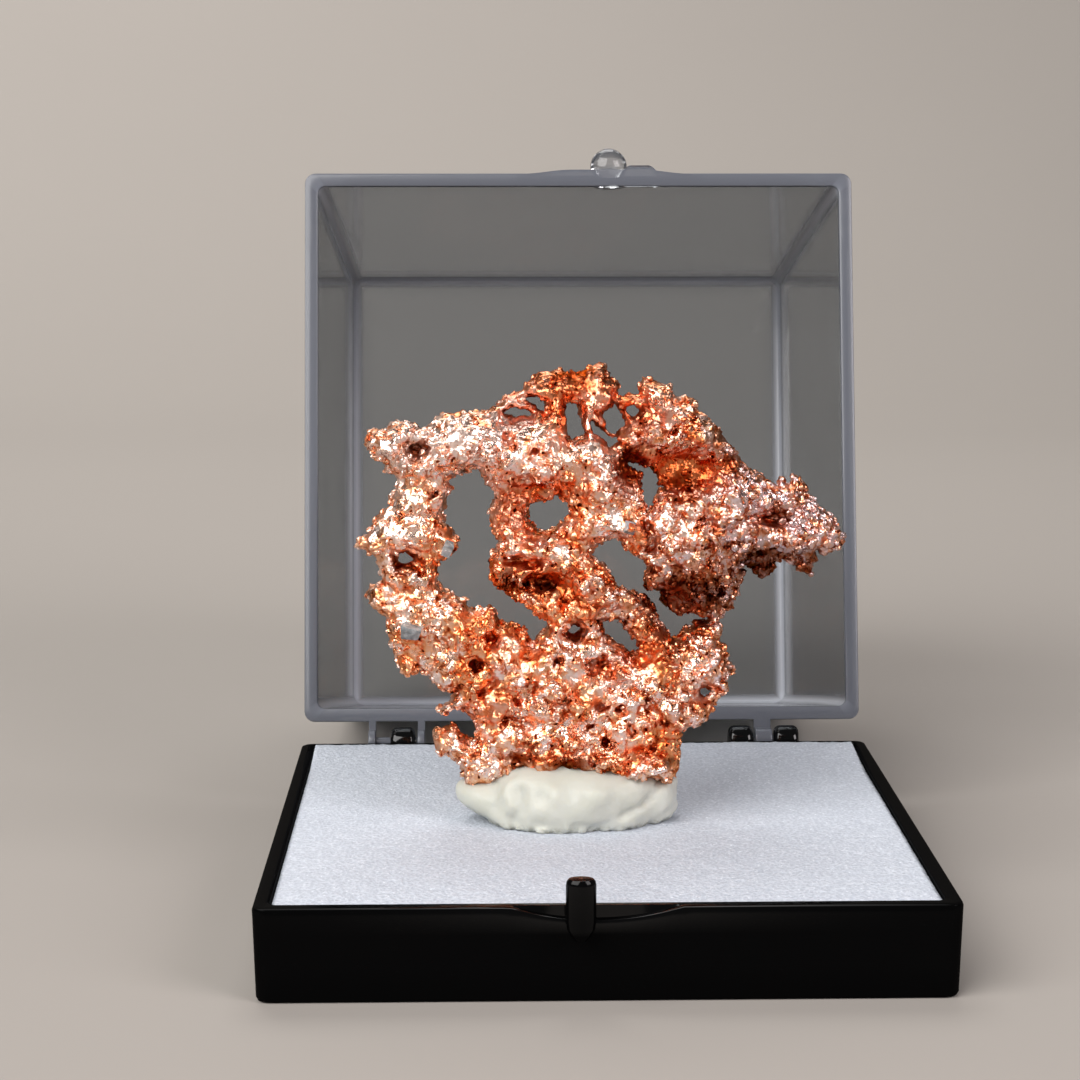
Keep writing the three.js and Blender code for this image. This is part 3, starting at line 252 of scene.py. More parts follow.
# Places in the X-Z plane where light and shade are painted into the metal's colour: x, z, reach
# across, reach up, strength
# Painted deep-red shade in hollows, slots and under ledges
RED_SHADE_SPOTS = [
    (-3, 55.5, 6.5, 2.6, 0.7), (9, 47.0, 2.8, 1.7, 1.6), (-5.6, 45.3, 3.6, 1.0, 0.8),
    (-8.4, 42.2, 1.6, 2.0, 0.8), (5, 53.0, 3.0, 1.2, 0.7), (-6.0, 36.4, 3.0, 1.3, 0.9),
    (7.5, 29.5, 2.0, 3.0, 0.4), (3.4, 47.8, 1.0, 1.6, 1.3), (18.4, 41.9, 1.4, 0.8, 0.9),
    (-8.1, 16.9, 1.1, 0.6, 1.1), (-2.9, 16.5, 1.6, 0.7, 1.1), (-10.5, 22.0, 2.2, 1.6, 0.5),
    (2.6, 26.0, 1.6, 1.4, 0.6), (7.6, 20.5, 1.8, 1.6, 0.4),
]
# Painted shade in grooves, pits and under the arm and the lumps
SHADE_SPOTS = [
    (9.6, 33.6, 3.6, 1.9, 1.3), (17.8, 36.2, 1.5, 1.2, 1.2), (22.9, 36.4, 1.0, 1.2, 0.8),
    (8.8, 45.6, 1.3, 0.9, 0.9), (-5.4, 35.4, 1.6, 0.8, 0.9), (-9.4, 35.2, 0.7, 1.2, 0.9),
    (3.2, 47.9, 0.9, 1.5, 1.0), (13.4, 50.6, 1.0, 1.6, 0.7), (25.6, 42.6, 0.9, 1.6, 0.7),
    (-2.5, 14.8, 1.8, 0.8, 0.9), (-2, 57.0, 6.0, 0.7, 0.45), (17, 47.4, 2.0, 0.8, 0.6),
    (16.4, 38.0, 2.0, 1.6, 0.45), (-19.0, 49.6, 0.8, 0.7, 0.8), (-18.8, 36.3, 1.6, 0.8, 0.35),
    (-8.1, 16.8, 0.9, 0.5, 0.9), (-2.9, 16.4, 1.5, 0.55, 0.9), (19.4, 42.4, 0.9, 0.8, 0.8),
    (24.3, 44.6, 1.3, 0.6, 0.8), (27.9, 39.6, 0.6, 1.4, 0.7), (19.8, 38.2, 2.6, 0.7, 0.6),
]
# Painted light on faces that turn up and towards the light
LIGHT_SPOTS = [
    (-14.5, 50.2, 5.0, 1.9, 1.0), (-8.0, 50.0, 3.2, 2.2, 0.6), (-18.6, 43.0, 2.6, 3.2, 0.5),
    (-21.6, 50.4, 2.4, 1.4, 0.6), (1.0, 47.5, 1.6, 3.0, 0.7), (-1.0, 49.6, 3.0, 1.6, 0.5),
    (21.8, 41.0, 2.6, 1.6, 0.9), (8.0, 42.6, 2.6, 1.6, 0.5), (13.8, 44.6, 1.6, 2.4, 0.6),
    (-3.0, 24.0, 3.0, 2.0, 0.3), (7.6, 54.6, 2.6, 1.4, 0.5), (-3.6, 38.6, 2.6, 1.0, 0.5),
]

# The rosy arm's start along X and how softly it begins, and the rosy lump: x, z, reaches
ROSY_ARM = (13.5, 1.6)
ROSY_LUMP = (11, 35, 4.5, 3.2)

# Crusts of separate grains: name, grains per square millimetre, radii, seed, rounded or not,
# and one where they keep to the rosy arm and lump
CRUSTS = [
    ("copper_beads", 0.28, 0.26, 0.5, 3, True, 0.0),
    ("copper_flakes", 0.9, 0.2, 0.46, 8, False, 0.0),
    ("copper_drops", 0.5, 0.42, 0.8, 12, True, 1.0),
]

# Pressed folds of the putty in the X-Z plane, as bent lines, with their depth and width
PUTTY_FOLDS = [
    ([(2.6, 11.2), (4.6, 11.9), (6.0, 13.0), (7.0, 14.6)], 0.34, 0.42),
    ([(7.4, 10.6), (8.7, 11.6), (8.6, 13.0)], 0.22, 0.4),
    ([(-8.8, 10.8), (-8.0, 12.0), (-8.2, 13.6)], 0.22, 0.8),
]

# Quartz grains: name, middle, half sizes, turn about X and Y, CAD node that it stands for
QUARTZ = [
    ("quartz_column", (-19.5, -4.0, 30.6), (1.5, 1.2, 1.2), (0.3, 0.25), "quartz_grain_column"),
    ("quartz_gap", (-15.7, -2.3, 39.1), (0.8, 0.8, 0.9), (0.5, 0.4), "quartz_grain_gap"),
    ("quartz_middle", (3.5, -3.6, 41.3), (0.8, 0.75, 0.7), (0.7, 0.3), "quartz_grain_middle"),
]


# Shader arithmetic
class Value:
    """A socket of a node tree that takes part in plain arithmetic."""

    def __init__(self, tree, socket):
        self.tree = tree
        self.socket = socket

    def math(self, operation, first, second):
        return self.tree.node("ShaderNodeMath", {"operation": operation}, {0: first, 1: second})

    def __add__(self, other):
        return self.math("ADD", self, other)

    def __sub__(self, other):
        return self.math("SUBTRACT", self, other)

    def __mul__(self, other):
        return self.math("MULTIPLY", self, other)

    def __radd__(self, other):
        return self.math("ADD", other, self)

    def __rsub__(self, other):
        return self.math("SUBTRACT", other, self)

    def __rmul__(self, other):
        return self.math("MULTIPLY", other, self)


class NodeTree:
    """A node tree, the one method that adds nodes to it, and a limited spread of values."""

    def __init__(self, tree):
        self.tree = tree
        tree.nodes.clear()

    def node(self, kind, settings=None, inputs=None, output=0):
        """Adds one node: its settings first, then the values or links of its sockets."""
        made = self.tree.nodes.new(kind)
        for name, setting in (settings or {}).items():
            if name == "stops":
                self.set_stops(made.color_ramp, setting)
            else:
                setattr(made, name, setting)
        for key, value in (inputs or {}).items():
            if isinstance(value, Value):
                self.tree.links.new(value.socket, made.inputs[key])
            else:
                made.inputs[key].default_value = value
        return Value(self, made.outputs[output]) if made.outputs else made

    def spread(self, value, low, high, to_low=0.0, to_high=1.0):
        """The value's share of the way from low to high, kept within the new limits."""
        inputs = {"Value": value, "From Min": low, "From Max": high}
        inputs.update({"To Min": to_low, "To Max": to_high})
        return self.node("ShaderNodeMapRange", {"clamp": True}, inputs)

    @staticmethod
    def set_stops(ramp, stops):
        while len(ramp.elements) > 1:
            ramp.elements.remove(ramp.elements[-1])
        for n, (place, colour) in enumerate(stops):
            element = ramp.elements[0] if n == 0 else ramp.elements.new(place)
            element.position = place
            element.color = (*colour, 1.0)


class Finish(NodeTree):
    """One material, with the patterns that the finishes here share."""

    def __init__(self, name):
        self.material = bpy.data.materials.new(name)
        self.material.use_nodes = True
        super().__init__(self.material.node_tree)
        self.place = self.node("ShaderNodeTexCoord", output="Object")

    def noise(self, per_metre, detail=2.0, roughness=0.5, distortion=0.0, seed=0.0):
        settings = {"noise_dimensions": "4D"}
        inputs = {"Vector": self.place, "W": seed, "Scale": per_metre, "Detail": detail}
        inputs.update({"Roughness": roughness, "Distortion": distortion})
        return self.node("ShaderNodeTexNoise", settings, inputs, "Fac")

    def cells(self, per_metre, output="Distance", vector=None):
        inputs = {"Vector": vector or self.place, "Scale": per_metre}
        return self.node("ShaderNodeTexVoronoi", None, inputs, output)

    def vector(self, operation, *inputs, output=0):
        settings = {"operation": operation}
        return self.node("ShaderNodeVectorMath", settings, dict(enumerate(inputs)), output)

    def swayed(self, per_metre, reach):
        """The place, pushed about by noise, so that cells lose their straight sides."""
        inputs = {"Vector": self.place, "Scale": per_metre, "Detail": 2.0}
        push = self.node("ShaderNodeTexNoise", None, inputs, "Color")
        return self.vector("MULTIPLY_ADD", push, (reach, reach, reach), self.place)

    def facets(self, per_metre, vector):
        """Flat cells, each with a lean of its own, and one random number for each."""
        middle = self.cells(per_metre, "Position", vector=vector)
        tone = self.cells(per_metre, "Color", vector=vector)
        lean = self.vector("SUBTRACT", tone, (0.5, 0.5, 0.5))
        away = self.vector("SUBTRACT", vector, middle)
        return self.vector("DOT_PRODUCT", away, lean, output="Value") * per_metre, tone

    def attribute(self, name):
        return self.node("ShaderNodeAttribute", {"attribute_name": name}, output="Fac")

    def blend(self, share, first, second, mode="MIX"):
        """A colour that goes from the first to the second as share goes from 0 to 1."""
        settings = {"data_type": "RGBA", "blend_type": mode, "clamp_factor": True}
        first = first if isinstance(first, Value) else (*first, 1.0)
        second = second if isinstance(second, Value) else (*second, 1.0)
        return self.node("ShaderNodeMix", settings, {0: share, 6: first, 7: second}, 2)

    def ramp(self, value, stops):
        return self.node("ShaderNodeValToRGB", {"stops": stops}, {"Fac": value})

    def bump(self, height, distance, strength=1.0):
        inputs = {"Height": height, "Distance": distance, "Strength": strength}
        return self.node("ShaderNodeBump", None, inputs)

    def shader(self, **sockets):
        inputs = {name.replace("_", " "): value for name, value in sockets.items()}
        return self.node("ShaderNodeBsdfPrincipled", None, inputs)

    def done(self, shader):
        self.node("ShaderNodeOutputMaterial", None, {"Surface": shader})
        return self.material

    def surface(self, **sockets):
        return self.done(self.shader(**sockets))


class Growth(NodeTree):
    """Geometry nodes with named inputs, which a piece goes through."""

    def __init__(self, name, **inputs):
        super().__init__(bpy.data.node_groups.new(name, "GeometryNodeTree"))
        face = self.tree.interface
        self.sockets = {}
        for key, kind in [("Surface", "Geometry"), *inputs.items(), ("Finish", "Material")]:
            shown = key.replace("_", " ")
            made = face.new_socket(shown, in_out="INPUT", socket_type="NodeSocket" + kind)
            self.sockets[shown] = made.identifier
        face.new_socket("Made", in_out="OUTPUT", socket_type="NodeSocketGeometry")
        entry = self.tree.nodes.new("NodeGroupInput")
        self.given = {s.name: Value(self, s) for s in entry.outputs if s.name}
        self.place = self.node("GeometryNodeInputPosition")

    def stored(self, name):
        settings = {"data_type": "FLOAT"}
        return self.node("GeometryNodeInputNamedAttribute", settings, {"Name": name})

    def real(self, made):
        return self.node("GeometryNodeRealizeInstances", None, {"Geometry": made})

    def done(self, made):
        inputs = {"Geometry": made, "Material": self.given["Finish"]}
        self.node("NodeGroupOutput", None, {0: self.node("GeometryNodeSetMaterial", None, inputs)})
        return self

    def change(self, piece, values):
        """Makes a piece the plain mesh that comes out for these inputs."""
        modifier = piece.modifiers.new("growth", "NODES")
        modifier.node_group = self.tree
        for shown, value in values.items():
            modifier[self.sockets[shown]] = value
        make_plain(piece)


# Meshes
def placed(name, data):
    """A new object at the origin."""
    made = bpy.data.objects.new(name, data)
    bpy.context.scene.collection.objects.link(made)
    return made


def make_plain(piece):
    """Gives a piece the mesh that its modifiers make, and takes them off."""
    seen = piece.evaluated_get(bpy.context.evaluated_depsgraph_get())
    mesh = bpy.data.meshes.new_from_object(seen)
    piece.modifiers.clear()
    piece.data = mesh


def mesh_object(name, points, faces, finish):
    """A smooth piece from points in millimetres, at the origin, with one finish."""
    mesh = bpy.data.meshes.new(name)
    points = np.asarray(points, dtype=np.float32) * MM
    if isinstance(faces, np.ndarray):
        count, corners = faces.shape
        mesh.vertices.add(len(points))
        mesh.vertices.foreach_set("co", points.ravel())
        mesh.loops.add(count * corners)
        mesh.loops.foreach_set("vertex_index", faces.astype(np.int32).ravel())
        mesh.polygons.add(count)
        starts = np.arange(0, count * corners, corners, dtype=np.int32)
        mesh.polygons.foreach_set("loop_start", starts)
        mesh.update(calc_edges=True)
    else:
        mesh.from_pydata([tuple(float(v) for v in p) for p in points], [], faces)
    mesh.validate()
    mesh.shade_smooth()
    mesh.materials.append(finish)
    return placed(name, mesh)


def store(piece, name, values):
    """Keeps one number for each point of a piece, under a name that its finish reads."""
    kept = piece.data.attributes.new(name, "FLOAT", "POINT")
    kept.data.foreach_set("value", np.asarray(values, dtype=np.float32))


def corner_points(across, deep, radius, steps):
    """The quarter rounds of a rectangle's four corners, anticlockwise, one after another."""
    for quarter, (sx, sy) in enumerate([(1, 1), (-1, 1), (-1, -1), (1, -1)]):
        for step in range(steps + 1):
            angle = (quarter + step / steps) * math.pi / 2
            x = sx * across + radius * math.cos(angle)
            yield x, sy * deep + radius * math.sin(angle), quarter, step == steps


def rounded_square(half, radius, side_steps=24):
    """Points round a square with rounded corners, anticlockwise from the right-hand side."""
    points = []
    length = 2 * (half - radius)
    shares = [step / side_steps for step in range(1, side_steps)]
    shares = sorted([0.7 / length, 1.4 / length, *shares, 1 - 1.4 / length, 1 - 0.7 / length])
    for x, y, quarter, last in corner_points(half - radius, half - radius, radius, CORNER_STEPS):
        points.append((x, y))
        if last:
            dx, dy = [(-1, 0), (0, -1), (1, 0), (0, 1)][quarter]
            points.extend((x + dx * length * share, y + dy * length * share) for share in shares)
    return points


def circle(steps):
    """The cosine and sine of equal steps round a circle."""
    angles = [2 * math.pi * i / steps for i in range(steps)]
    return [(math.cos(angle), math.sin(angle)) for angle in angles]


def ring_skin(rings):
    """Points and faces of a closed skin over rings of equal count, capped at both ends."""
    count = len(rings[0])
    points = [p for ring in rings for p in ring]
    faces = []
    for r in range(len(rings) - 1):
        for i in range(count):
            a = r * count + i
            b = r * count + (i + 1) % count
            faces.append((a, b, b + count, a + count))
    last = (len(rings) - 1) * count
    faces.append(tuple(range(count - 1, -1, -1)))
    faces.append(tuple(range(last, last + count)))
    return points, faces


def lathe_bar(span, radius, rounding):
    """A round bar along X on the hinge axis with its ends rounded over."""
    x0, x1 = span
    edge = [(rounding * (1 - math.cos(a)), radius - rounding + rounding * math.sin(a))
            for a in np.linspace(0, math.pi / 2, 5)]
    profile = [(x0 + d, r) for d, r in edge] + [(x1 - d, r) for d, r in reversed(edge)]
    return ring_skin([
        [(x, HINGE[1] + r * c, HINGE[2] + r * s) for c, s in circle(28)] for x, r in profile
    ])


def box_shape(x0, x1, y0, y1, z0, z1, rounding=0.15):
    """A block with its upright and level edges slightly rounded."""
    rings = []
    mid_x, mid_y = (x0 + x1) / 2, (y0 + y1) / 2
    for z, inset in [(z0, rounding), (z0 + rounding, 0), (z1 - rounding, 0), (z1, rounding)]:
        across = (x1 - x0) / 2 - inset - rounding
        deep = (y1 - y0) / 2 - inset - rounding
        corners = corner_points(across, deep, rounding, 3)
        rings.append([(mid_x + x, mid_y + y, z) for x, y, _, _ in corners])
    return ring_skin(rings)


def joined(shapes):
    """The points and faces of several shapes as one."""
    points, faces = [], []
    for more_points, more_faces in shapes:
        start = len(points)
        points.extend(more_points)
        faces.extend(tuple(start + v for v in face) for face in more_faces)
    return points, faces


def merged(base, others, finish, name):
    """One skin round several closed shapes, made by an exact union."""
    first = mesh_object(name, *base, finish)
    held = []
    for n, shape in enumerate(others):
        held.append(mesh_object(f"{name}_{n}", *shape, finish))
        union = first.modifiers.new(f"join_{n}", "BOOLEAN")
        union.operation = "UNION"
        union.solver = "EXACT"
        union.object = held[-1]
    make_plain(first)
    for other in held:
        bpy.data.objects.remove(other)
    return first


def smooth_by_angle(piece, degrees):
    """Smooth shading, with the edges that turn further kept sharp."""
    piece.data.shade_smooth()
    piece.data.set_sharp_from_angle(angle=math.radians(degrees))


def middle_of(loop):
    return tuple(sum(p[n] for p in loop) / len(loop) for n in (0, 1))


def grown(loop, share):
    """A loop made larger about its middle."""
    cx, cz = middle_of(loop)
    return [(cx + (x - cx) * share, cz + (z - cz) * share) for x, z in loop]


LOOPS = [OUTLINE, COLUMN_GAP, ARM_GAP, OVAL_HOLE, UPPER_SLIT, LOWER_SLIT]
LOOPS += [grown(loop, HOLE_GROWTH) for loop in SMALL_HOLES]


# Scattered numbers and distances
def scatter(i, j, k, seed):
    """Repeatable random number from three whole numbers and a seed."""
    wave = np.sin(i * 127.1 + j * 311.7 + k * 74.7 + seed * 53.3) * 43758.5453
    return wave - np.floor(wave)


class Seeds:
    """One scattered point per cell of a lattice, over the region that the copper fills."""

    def __init__(self, spacing, seed):
        self.spacing = spacing
        self.low = np.floor((np.array(COPPER_LOW) - 4) / spacing).astype(int) - 2
        high = np.ceil((np.array(COPPER_HIGH) + 4) / spacing).astype(int) + 2
        spans = [np.arange(a, b).astype(float) for a, b in zip(self.low, high)]
        lattice = np.meshgrid(*spans, indexing="ij")
        random = [scatter(*lattice, seed + n) for n in range(7)]
        self.points = np.stack([a + b for a, b in zip(lattice, random)], -1).astype(np.float32)
        self.tilts = (np.stack(random[3:6], -1) - 0.5).astype(np.float32)
        self.values = random[6].astype(np.float32)

    def nearest(self, p, with_tilt=False):
        """Distance to the nearest scattered point, in cells, and that point's slope."""
        q = p / self.spacing
        cell = np.floor(q).astype(int) - self.low
        best = np.full(len(p), 9.0, dtype=np.float32)
        which = np.zeros((len(p), 3), dtype=int)
        for step in product((-1, 0, 1), repeat=3):
            near = cell + step
            away = self.points[tuple(near.T)] - q
            square = np.einsum("ij,ij->i", away, away)
            closer = square < best
            best = np.where(closer, square, best)
            if with_tilt:
                which[closer] = near[closer]
        distance = np.sqrt(best)
        if not with_tilt:
            return distance
        found = tuple(which.T)
        slope = np.einsum("ij,ij->i", q - self.points[found], self.tilts[found])
        return distance, slope, self.values[found]


def smooth_noise(p, spacing, seed):
    """Soft noise from -1 to 1 on a lattice."""
    q = p / spacing
    cell = np.floor(q)
    share = q - cell
    share = share * share * (3 - 2 * share)
    total = np.zeros(len(p))
    for steps in product((0, 1), repeat=3):
        weight = 1
        for n, step in enumerate(steps):
            weight = weight * (share[:, n] if step else 1 - share[:, n])
        total += weight * scatter(*[cell[:, n] + step for n, step in enumerate(steps)], seed)
    return (2 * total - 1).astype(np.float32)


def along(px, pz, start, end):
    """How far points lie from one straight line of the X-Z plane, as two offsets."""
    (ax, az), (bx, bz) = start, end
    ex, ez = bx - ax, bz - az
    t = np.clip(((px - ax) * ex + (pz - az) * ez) / (ex * ex + ez * ez), 0, 1)
    return ax + t * ex - px, az + t * ez - pz


def inside_by(x, z):
    """How far points of the X-Z plane lie inside the outline and outside its gaps."""
    nearest = np.full(x.shape, 1e9, dtype=np.float32)
    inside = np.zeros(x.shape, dtype=bool)
    for loop in LOOPS:
        for (ax, az), (bx, bz) in zip(loop, loop[1:] + loop[:1]):
            dx, dz = along(x, z, (ax, az), (bx, bz))
            nearest = np.minimum(nearest, dx ** 2 + dz ** 2)
            if az != bz:
                spans = (az > z) != (bz > z)
                inside ^= spans & (x < ax + (bx - ax) * (z - az) / (bz - az))
    reach = np.sqrt(nearest)
    return np.where(inside, reach, -reach)


def bell(dx, dz):
    return np.exp(-0.5 * (dx * dx + dz * dz))


def zone(x, z, places):
    """How strongly points of the X-Z plane lie in a list of soft spots."""
    total = 0
    for cx, cz, across, up, strength in places:
        total = total + strength * bell((x - cx) / across, (z - cz) / up)
    return np.clip(total, 0, 1)


def by_small_holes(x, z):
    """One close round the small holes, and zero away from them."""
    near = np.zeros(x.shape, dtype=np.float32)
    for loop in SMALL_HOLES:
        cx, cz = middle_of(loop)
        reach = sum(math.hypot(px - cx, pz - cz) for px, pz in loop) / len(loop)
        near = np.maximum(near, np.hypot(x - cx, z - cz) < reach * HOLE_GROWTH + BARE_MARGIN)
    return near


def columns_at(x, z):
    """Inside distance, lean, front and back thickness at points of the X-Z plane."""
    weight = np.full(x.shape, 1e-9, dtype=np.float32)
    sums = np.zeros((3, *x.shape), dtype=np.float32)
    for rx, rz, *measures in REGIONS:
        here = bell((x - rx) / REGION_REACH, (z - rz) / REGION_REACH)
        weight += here
        for n, measure in enumerate(measures):
            sums[n] += here * measure
    lean, front, back = sums / weight
    for sx, sz, across, up, height in SWELLS:
        front = front + height * bell((x - sx) / across, (z - sz) / up)
    for px, pz, radius in PITS:
        ragged = 1 + 0.3 * np.sin(3.1 * x + 1.7 * z + px) + 0.25 * np.sin(5.9 * z - 4.3 * x + pz)
        reach = np.hypot(x - px, z - pz) * ragged / radius
        front = front - PIT_DEPTH / (1 + np.exp((reach - 1) * 4))
    return inside_by(x, z), lean, front, back


class CopperShape:
    """The copper's field: below zero inside the metal."""

    def __init__(self):
        self.knobs = [(Seeds(spacing, seed), height) for spacing, height, seed in KNOBS]
        self.grains = [(Seeds(spacing, seed), height) for spacing, height, seed in GRAINS_OF_METAL]
        self.facets = Seeds(FACET_SPACING, 41)

    def body(self, y, columns):
        inside, lean, front, back = columns
        depth = np.where(y < lean, (lean - y) / np.maximum(front, LEAST_FRONT), (y - lean) / back)
        edge = np.maximum(0, EDGE_ROUND - inside) / EDGE_ROUND
        return (np.hypot(edge, depth) - 1) * EDGE_ROUND

    def coarse(self, p, columns):
        """The field with the knobs that the frame has too."""
        calm = np.clip(columns[0] / EDGE_ROUND, 0.25, 1)
        relief = sum((KNOB_MEAN - seeds.nearest(p)) * height for seeds, height in self.knobs)
        return self.body(p[:, 1], columns) - calm * relief

    def fine(self, p):
        """What the finer grain adds: below zero raises the metal."""
        warp = np.stack([smooth_noise(p, WARP_SCALE, 60 + n) for n in range(3)], axis=-1)
        q = p + WARP_REACH * warp
        relief = sum((0.4 - seeds.nearest(q)) * height for seeds, height in self.grains)
        _, slope, level = self.facets.nearest(q, with_tilt=True)
        relief = relief + FACET_TILT * slope + 0.12 * (level - 0.5)
        return -relief

    def at(self, p):
        columns = columns_at(p[:, 0], p[:, 2])
        return self.coarse(p, columns) + self.fine(p)


# Skin of a field
def fill_touching_corners(inside):
    """Fills corners until no two filled or empty cells meet only at an edge or a corner."""
    views = [
        [inside[:-1, :-1, :], inside[1:, :-1, :], inside[:-1, 1:, :], inside[1:, 1:, :]],
        [inside[:-1, :, :-1], inside[1:, :, :-1], inside[:-1, :, 1:], inside[1:, :, 1:]],
        [inside[:, :-1, :-1], inside[:, 1:, :-1], inside[:, :-1, 1:], inside[:, 1:, 1:]],
    ]
    for _ in range(12):
        changed = 0
        for a, b, c, d in views:
            one = a & d & ~b & ~c
            other = b & c & ~a & ~d
            changed += int(one.sum() + other.sum())
            b |= one
            a |= other
        if not changed:
            break
    return inside


def skin_of(value, low, cell):
    """Points and four-cornered faces round where a sampled field is below zero."""
    inside = fill_touching_corners(value < 0)
    value = np.where(inside, np.minimum(value, -1e-3), np.maximum(value, 1e-3))
    shape = np.array(value.shape) - 1
    total = np.zeros((*shape, 3), dtype=np.float32)
    count = np.zeros(shape, dtype=np.float32)
    quads = []
    for axis in range(3):
        u, v = (axis + 1) % 3, (axis + 2) % 3
        first = np.moveaxis(value, axis, 0)[:-1]
        second = np.moveaxis(value, axis, 0)[1:]
        crossed = np.moveaxis((first < 0) != (second < 0), 0, axis)
        share = np.moveaxis(first / (first - second), 0, axis)
        edges = np.argwhere(crossed)
        edges = edges[(edges[:, u] > 0) & (edges[:, v] > 0)]
        edges = edges[(edges[:, u] < shape[u]) & (edges[:, v] < shape[v])]
        places = edges.astype(np.float32)
        places[:, axis] += share[tuple(edges.T)]
        around = []
        for du, dv in [(-1, -1), (0, -1), (0, 0), (-1, 0)]:
            cells = edges.copy()
            cells[:, u] += du
            cells[:, v] += dv
            np.add.at(total, tuple(cells.T), places)
            np.add.at(count, tuple(cells.T), 1)
            around.append(np.ravel_multi_index(tuple(cells.T), shape))
        quad = np.stack(around, axis=-1)
        starts_inside = inside[tuple(edges.T)]
        quad[~starts_inside] = quad[~starts_inside][:, ::-1]
        quads.append(quad)
    used = np.flatnonzero(count.ravel() > 0)
    number = np.full(count.size, -1, dtype=np.int64)
    number[used] = np.arange(len(used))
    points = total.reshape(-1, 3)[used] / count.ravel()[used][:, None]
    return points * cell + np.array(low, dtype=np.float32), number[np.concatenate(quads)]


def largest_body(points, quads):
    """Drops loose crumbs and sealed bubbles."""
    label = np.arange(len(points))
    ends = np.concatenate([quads[:, [0, 1]], quads[:, [1, 2]], quads[:, [2, 3]]])
    while True:
        least = np.minimum(label[ends[:, 0]], label[ends[:, 1]])
        after = label.copy()
        np.minimum.at(after, ends[:, 0], least)
        np.minimum.at(after, ends[:, 1], least)
        after = after[after]
        if np.array_equal(after, label):
            break
        label = after
    names, sizes = np.unique(label, return_counts=True)
    kept = label == names[np.argmax(sizes)]
    number = np.cumsum(kept) - 1
    return points[kept], number[quads[kept[quads[:, 0]]]]


def settle(points, field, cell, steps=1):
    """Moves points towards the surface of a field, each by less than half a cell."""
    probe = SLOPE_PROBE
    for _ in range(steps):
        here = field(points)
        slope = np.empty_like(points)
        for n in range(3):
            moved = points.copy()
            moved[:, n] += probe
            slope[:, n] = (field(moved) - here) / probe
        steep = np.maximum(0.3, np.einsum("ij,ij->i", slope, slope))
        step = -(here / steep)[:, None] * slope
        length = np.linalg.norm(step, axis=1, keepdims=True)
        points = points + step * np.minimum(1, 0.4 * cell / np.maximum(length, 1e-9))
    return points


def sample_copper(shape):
    """The copper's field on a grid, with the fine grain only near the surface."""
    axes = [np.arange(a, b, COPPER_CELL, dtype=np.float32) for a, b in zip(COPPER_LOW, COPPER_HIGH)]
    xs, ys, zs = axes
    x, z = np.meshgrid(xs, zs, indexing="ij")
    columns = columns_at(x, z)
    flat = [c[:, None, :] for c in columns]
    value = shape.body(ys[None, :, None], flat)
    for border in (value[0], value[-1], value[:, 0], value[:, -1], value[..., 0], value[..., -1]):
        border[...] = WELL_OUTSIDE
    near = np.argwhere((value < COARSE_BAND[1]) & (value > COARSE_BAND[0]))
    places = np.stack([axes[n][near[:, n]] for n in range(3)], axis=-1)
    at_column = [c[near[:, 0], near[:, 2]] for c in columns]
    level = shape.coarse(places, at_column)
    close = np.abs(level) < FINE_BAND
    level[close] += shape.fine(places[close])
    value[tuple(near.T)] = level
    value[..., 0] = WELL_OUTSIDE
    return value


def copper_relief(shape, points, quads):
    """For each point, how far it stands proud of the coarse form and how shut in it is."""
    mesh_normals = np.zeros_like(points)
    a, b, c, d = [points[quads[:, n]] for n in range(4)]
    across = np.cross(c - a, d - b)
    for n in range(4):
        np.add.at(mesh_normals, quads[:, n], across)
    mesh_normals /= np.maximum(np.linalg.norm(mesh_normals, axis=1, keepdims=True), 1e-9)
    proud = shape.coarse(points, columns_at(points[:, 0], points[:, 2]))
    shut = np.zeros(len(points), dtype=np.float32)
    for reach, share in [(0.9, 0.35), (2.2, 0.35), (4.6, 0.3)]:
        away = points + mesh_normals * reach
        level = shape.coarse(away, columns_at(away[:, 0], away[:, 2]))
        shut += share * np.clip((reach - level + proud) / reach, 0, 1.6)
    return proud, shut


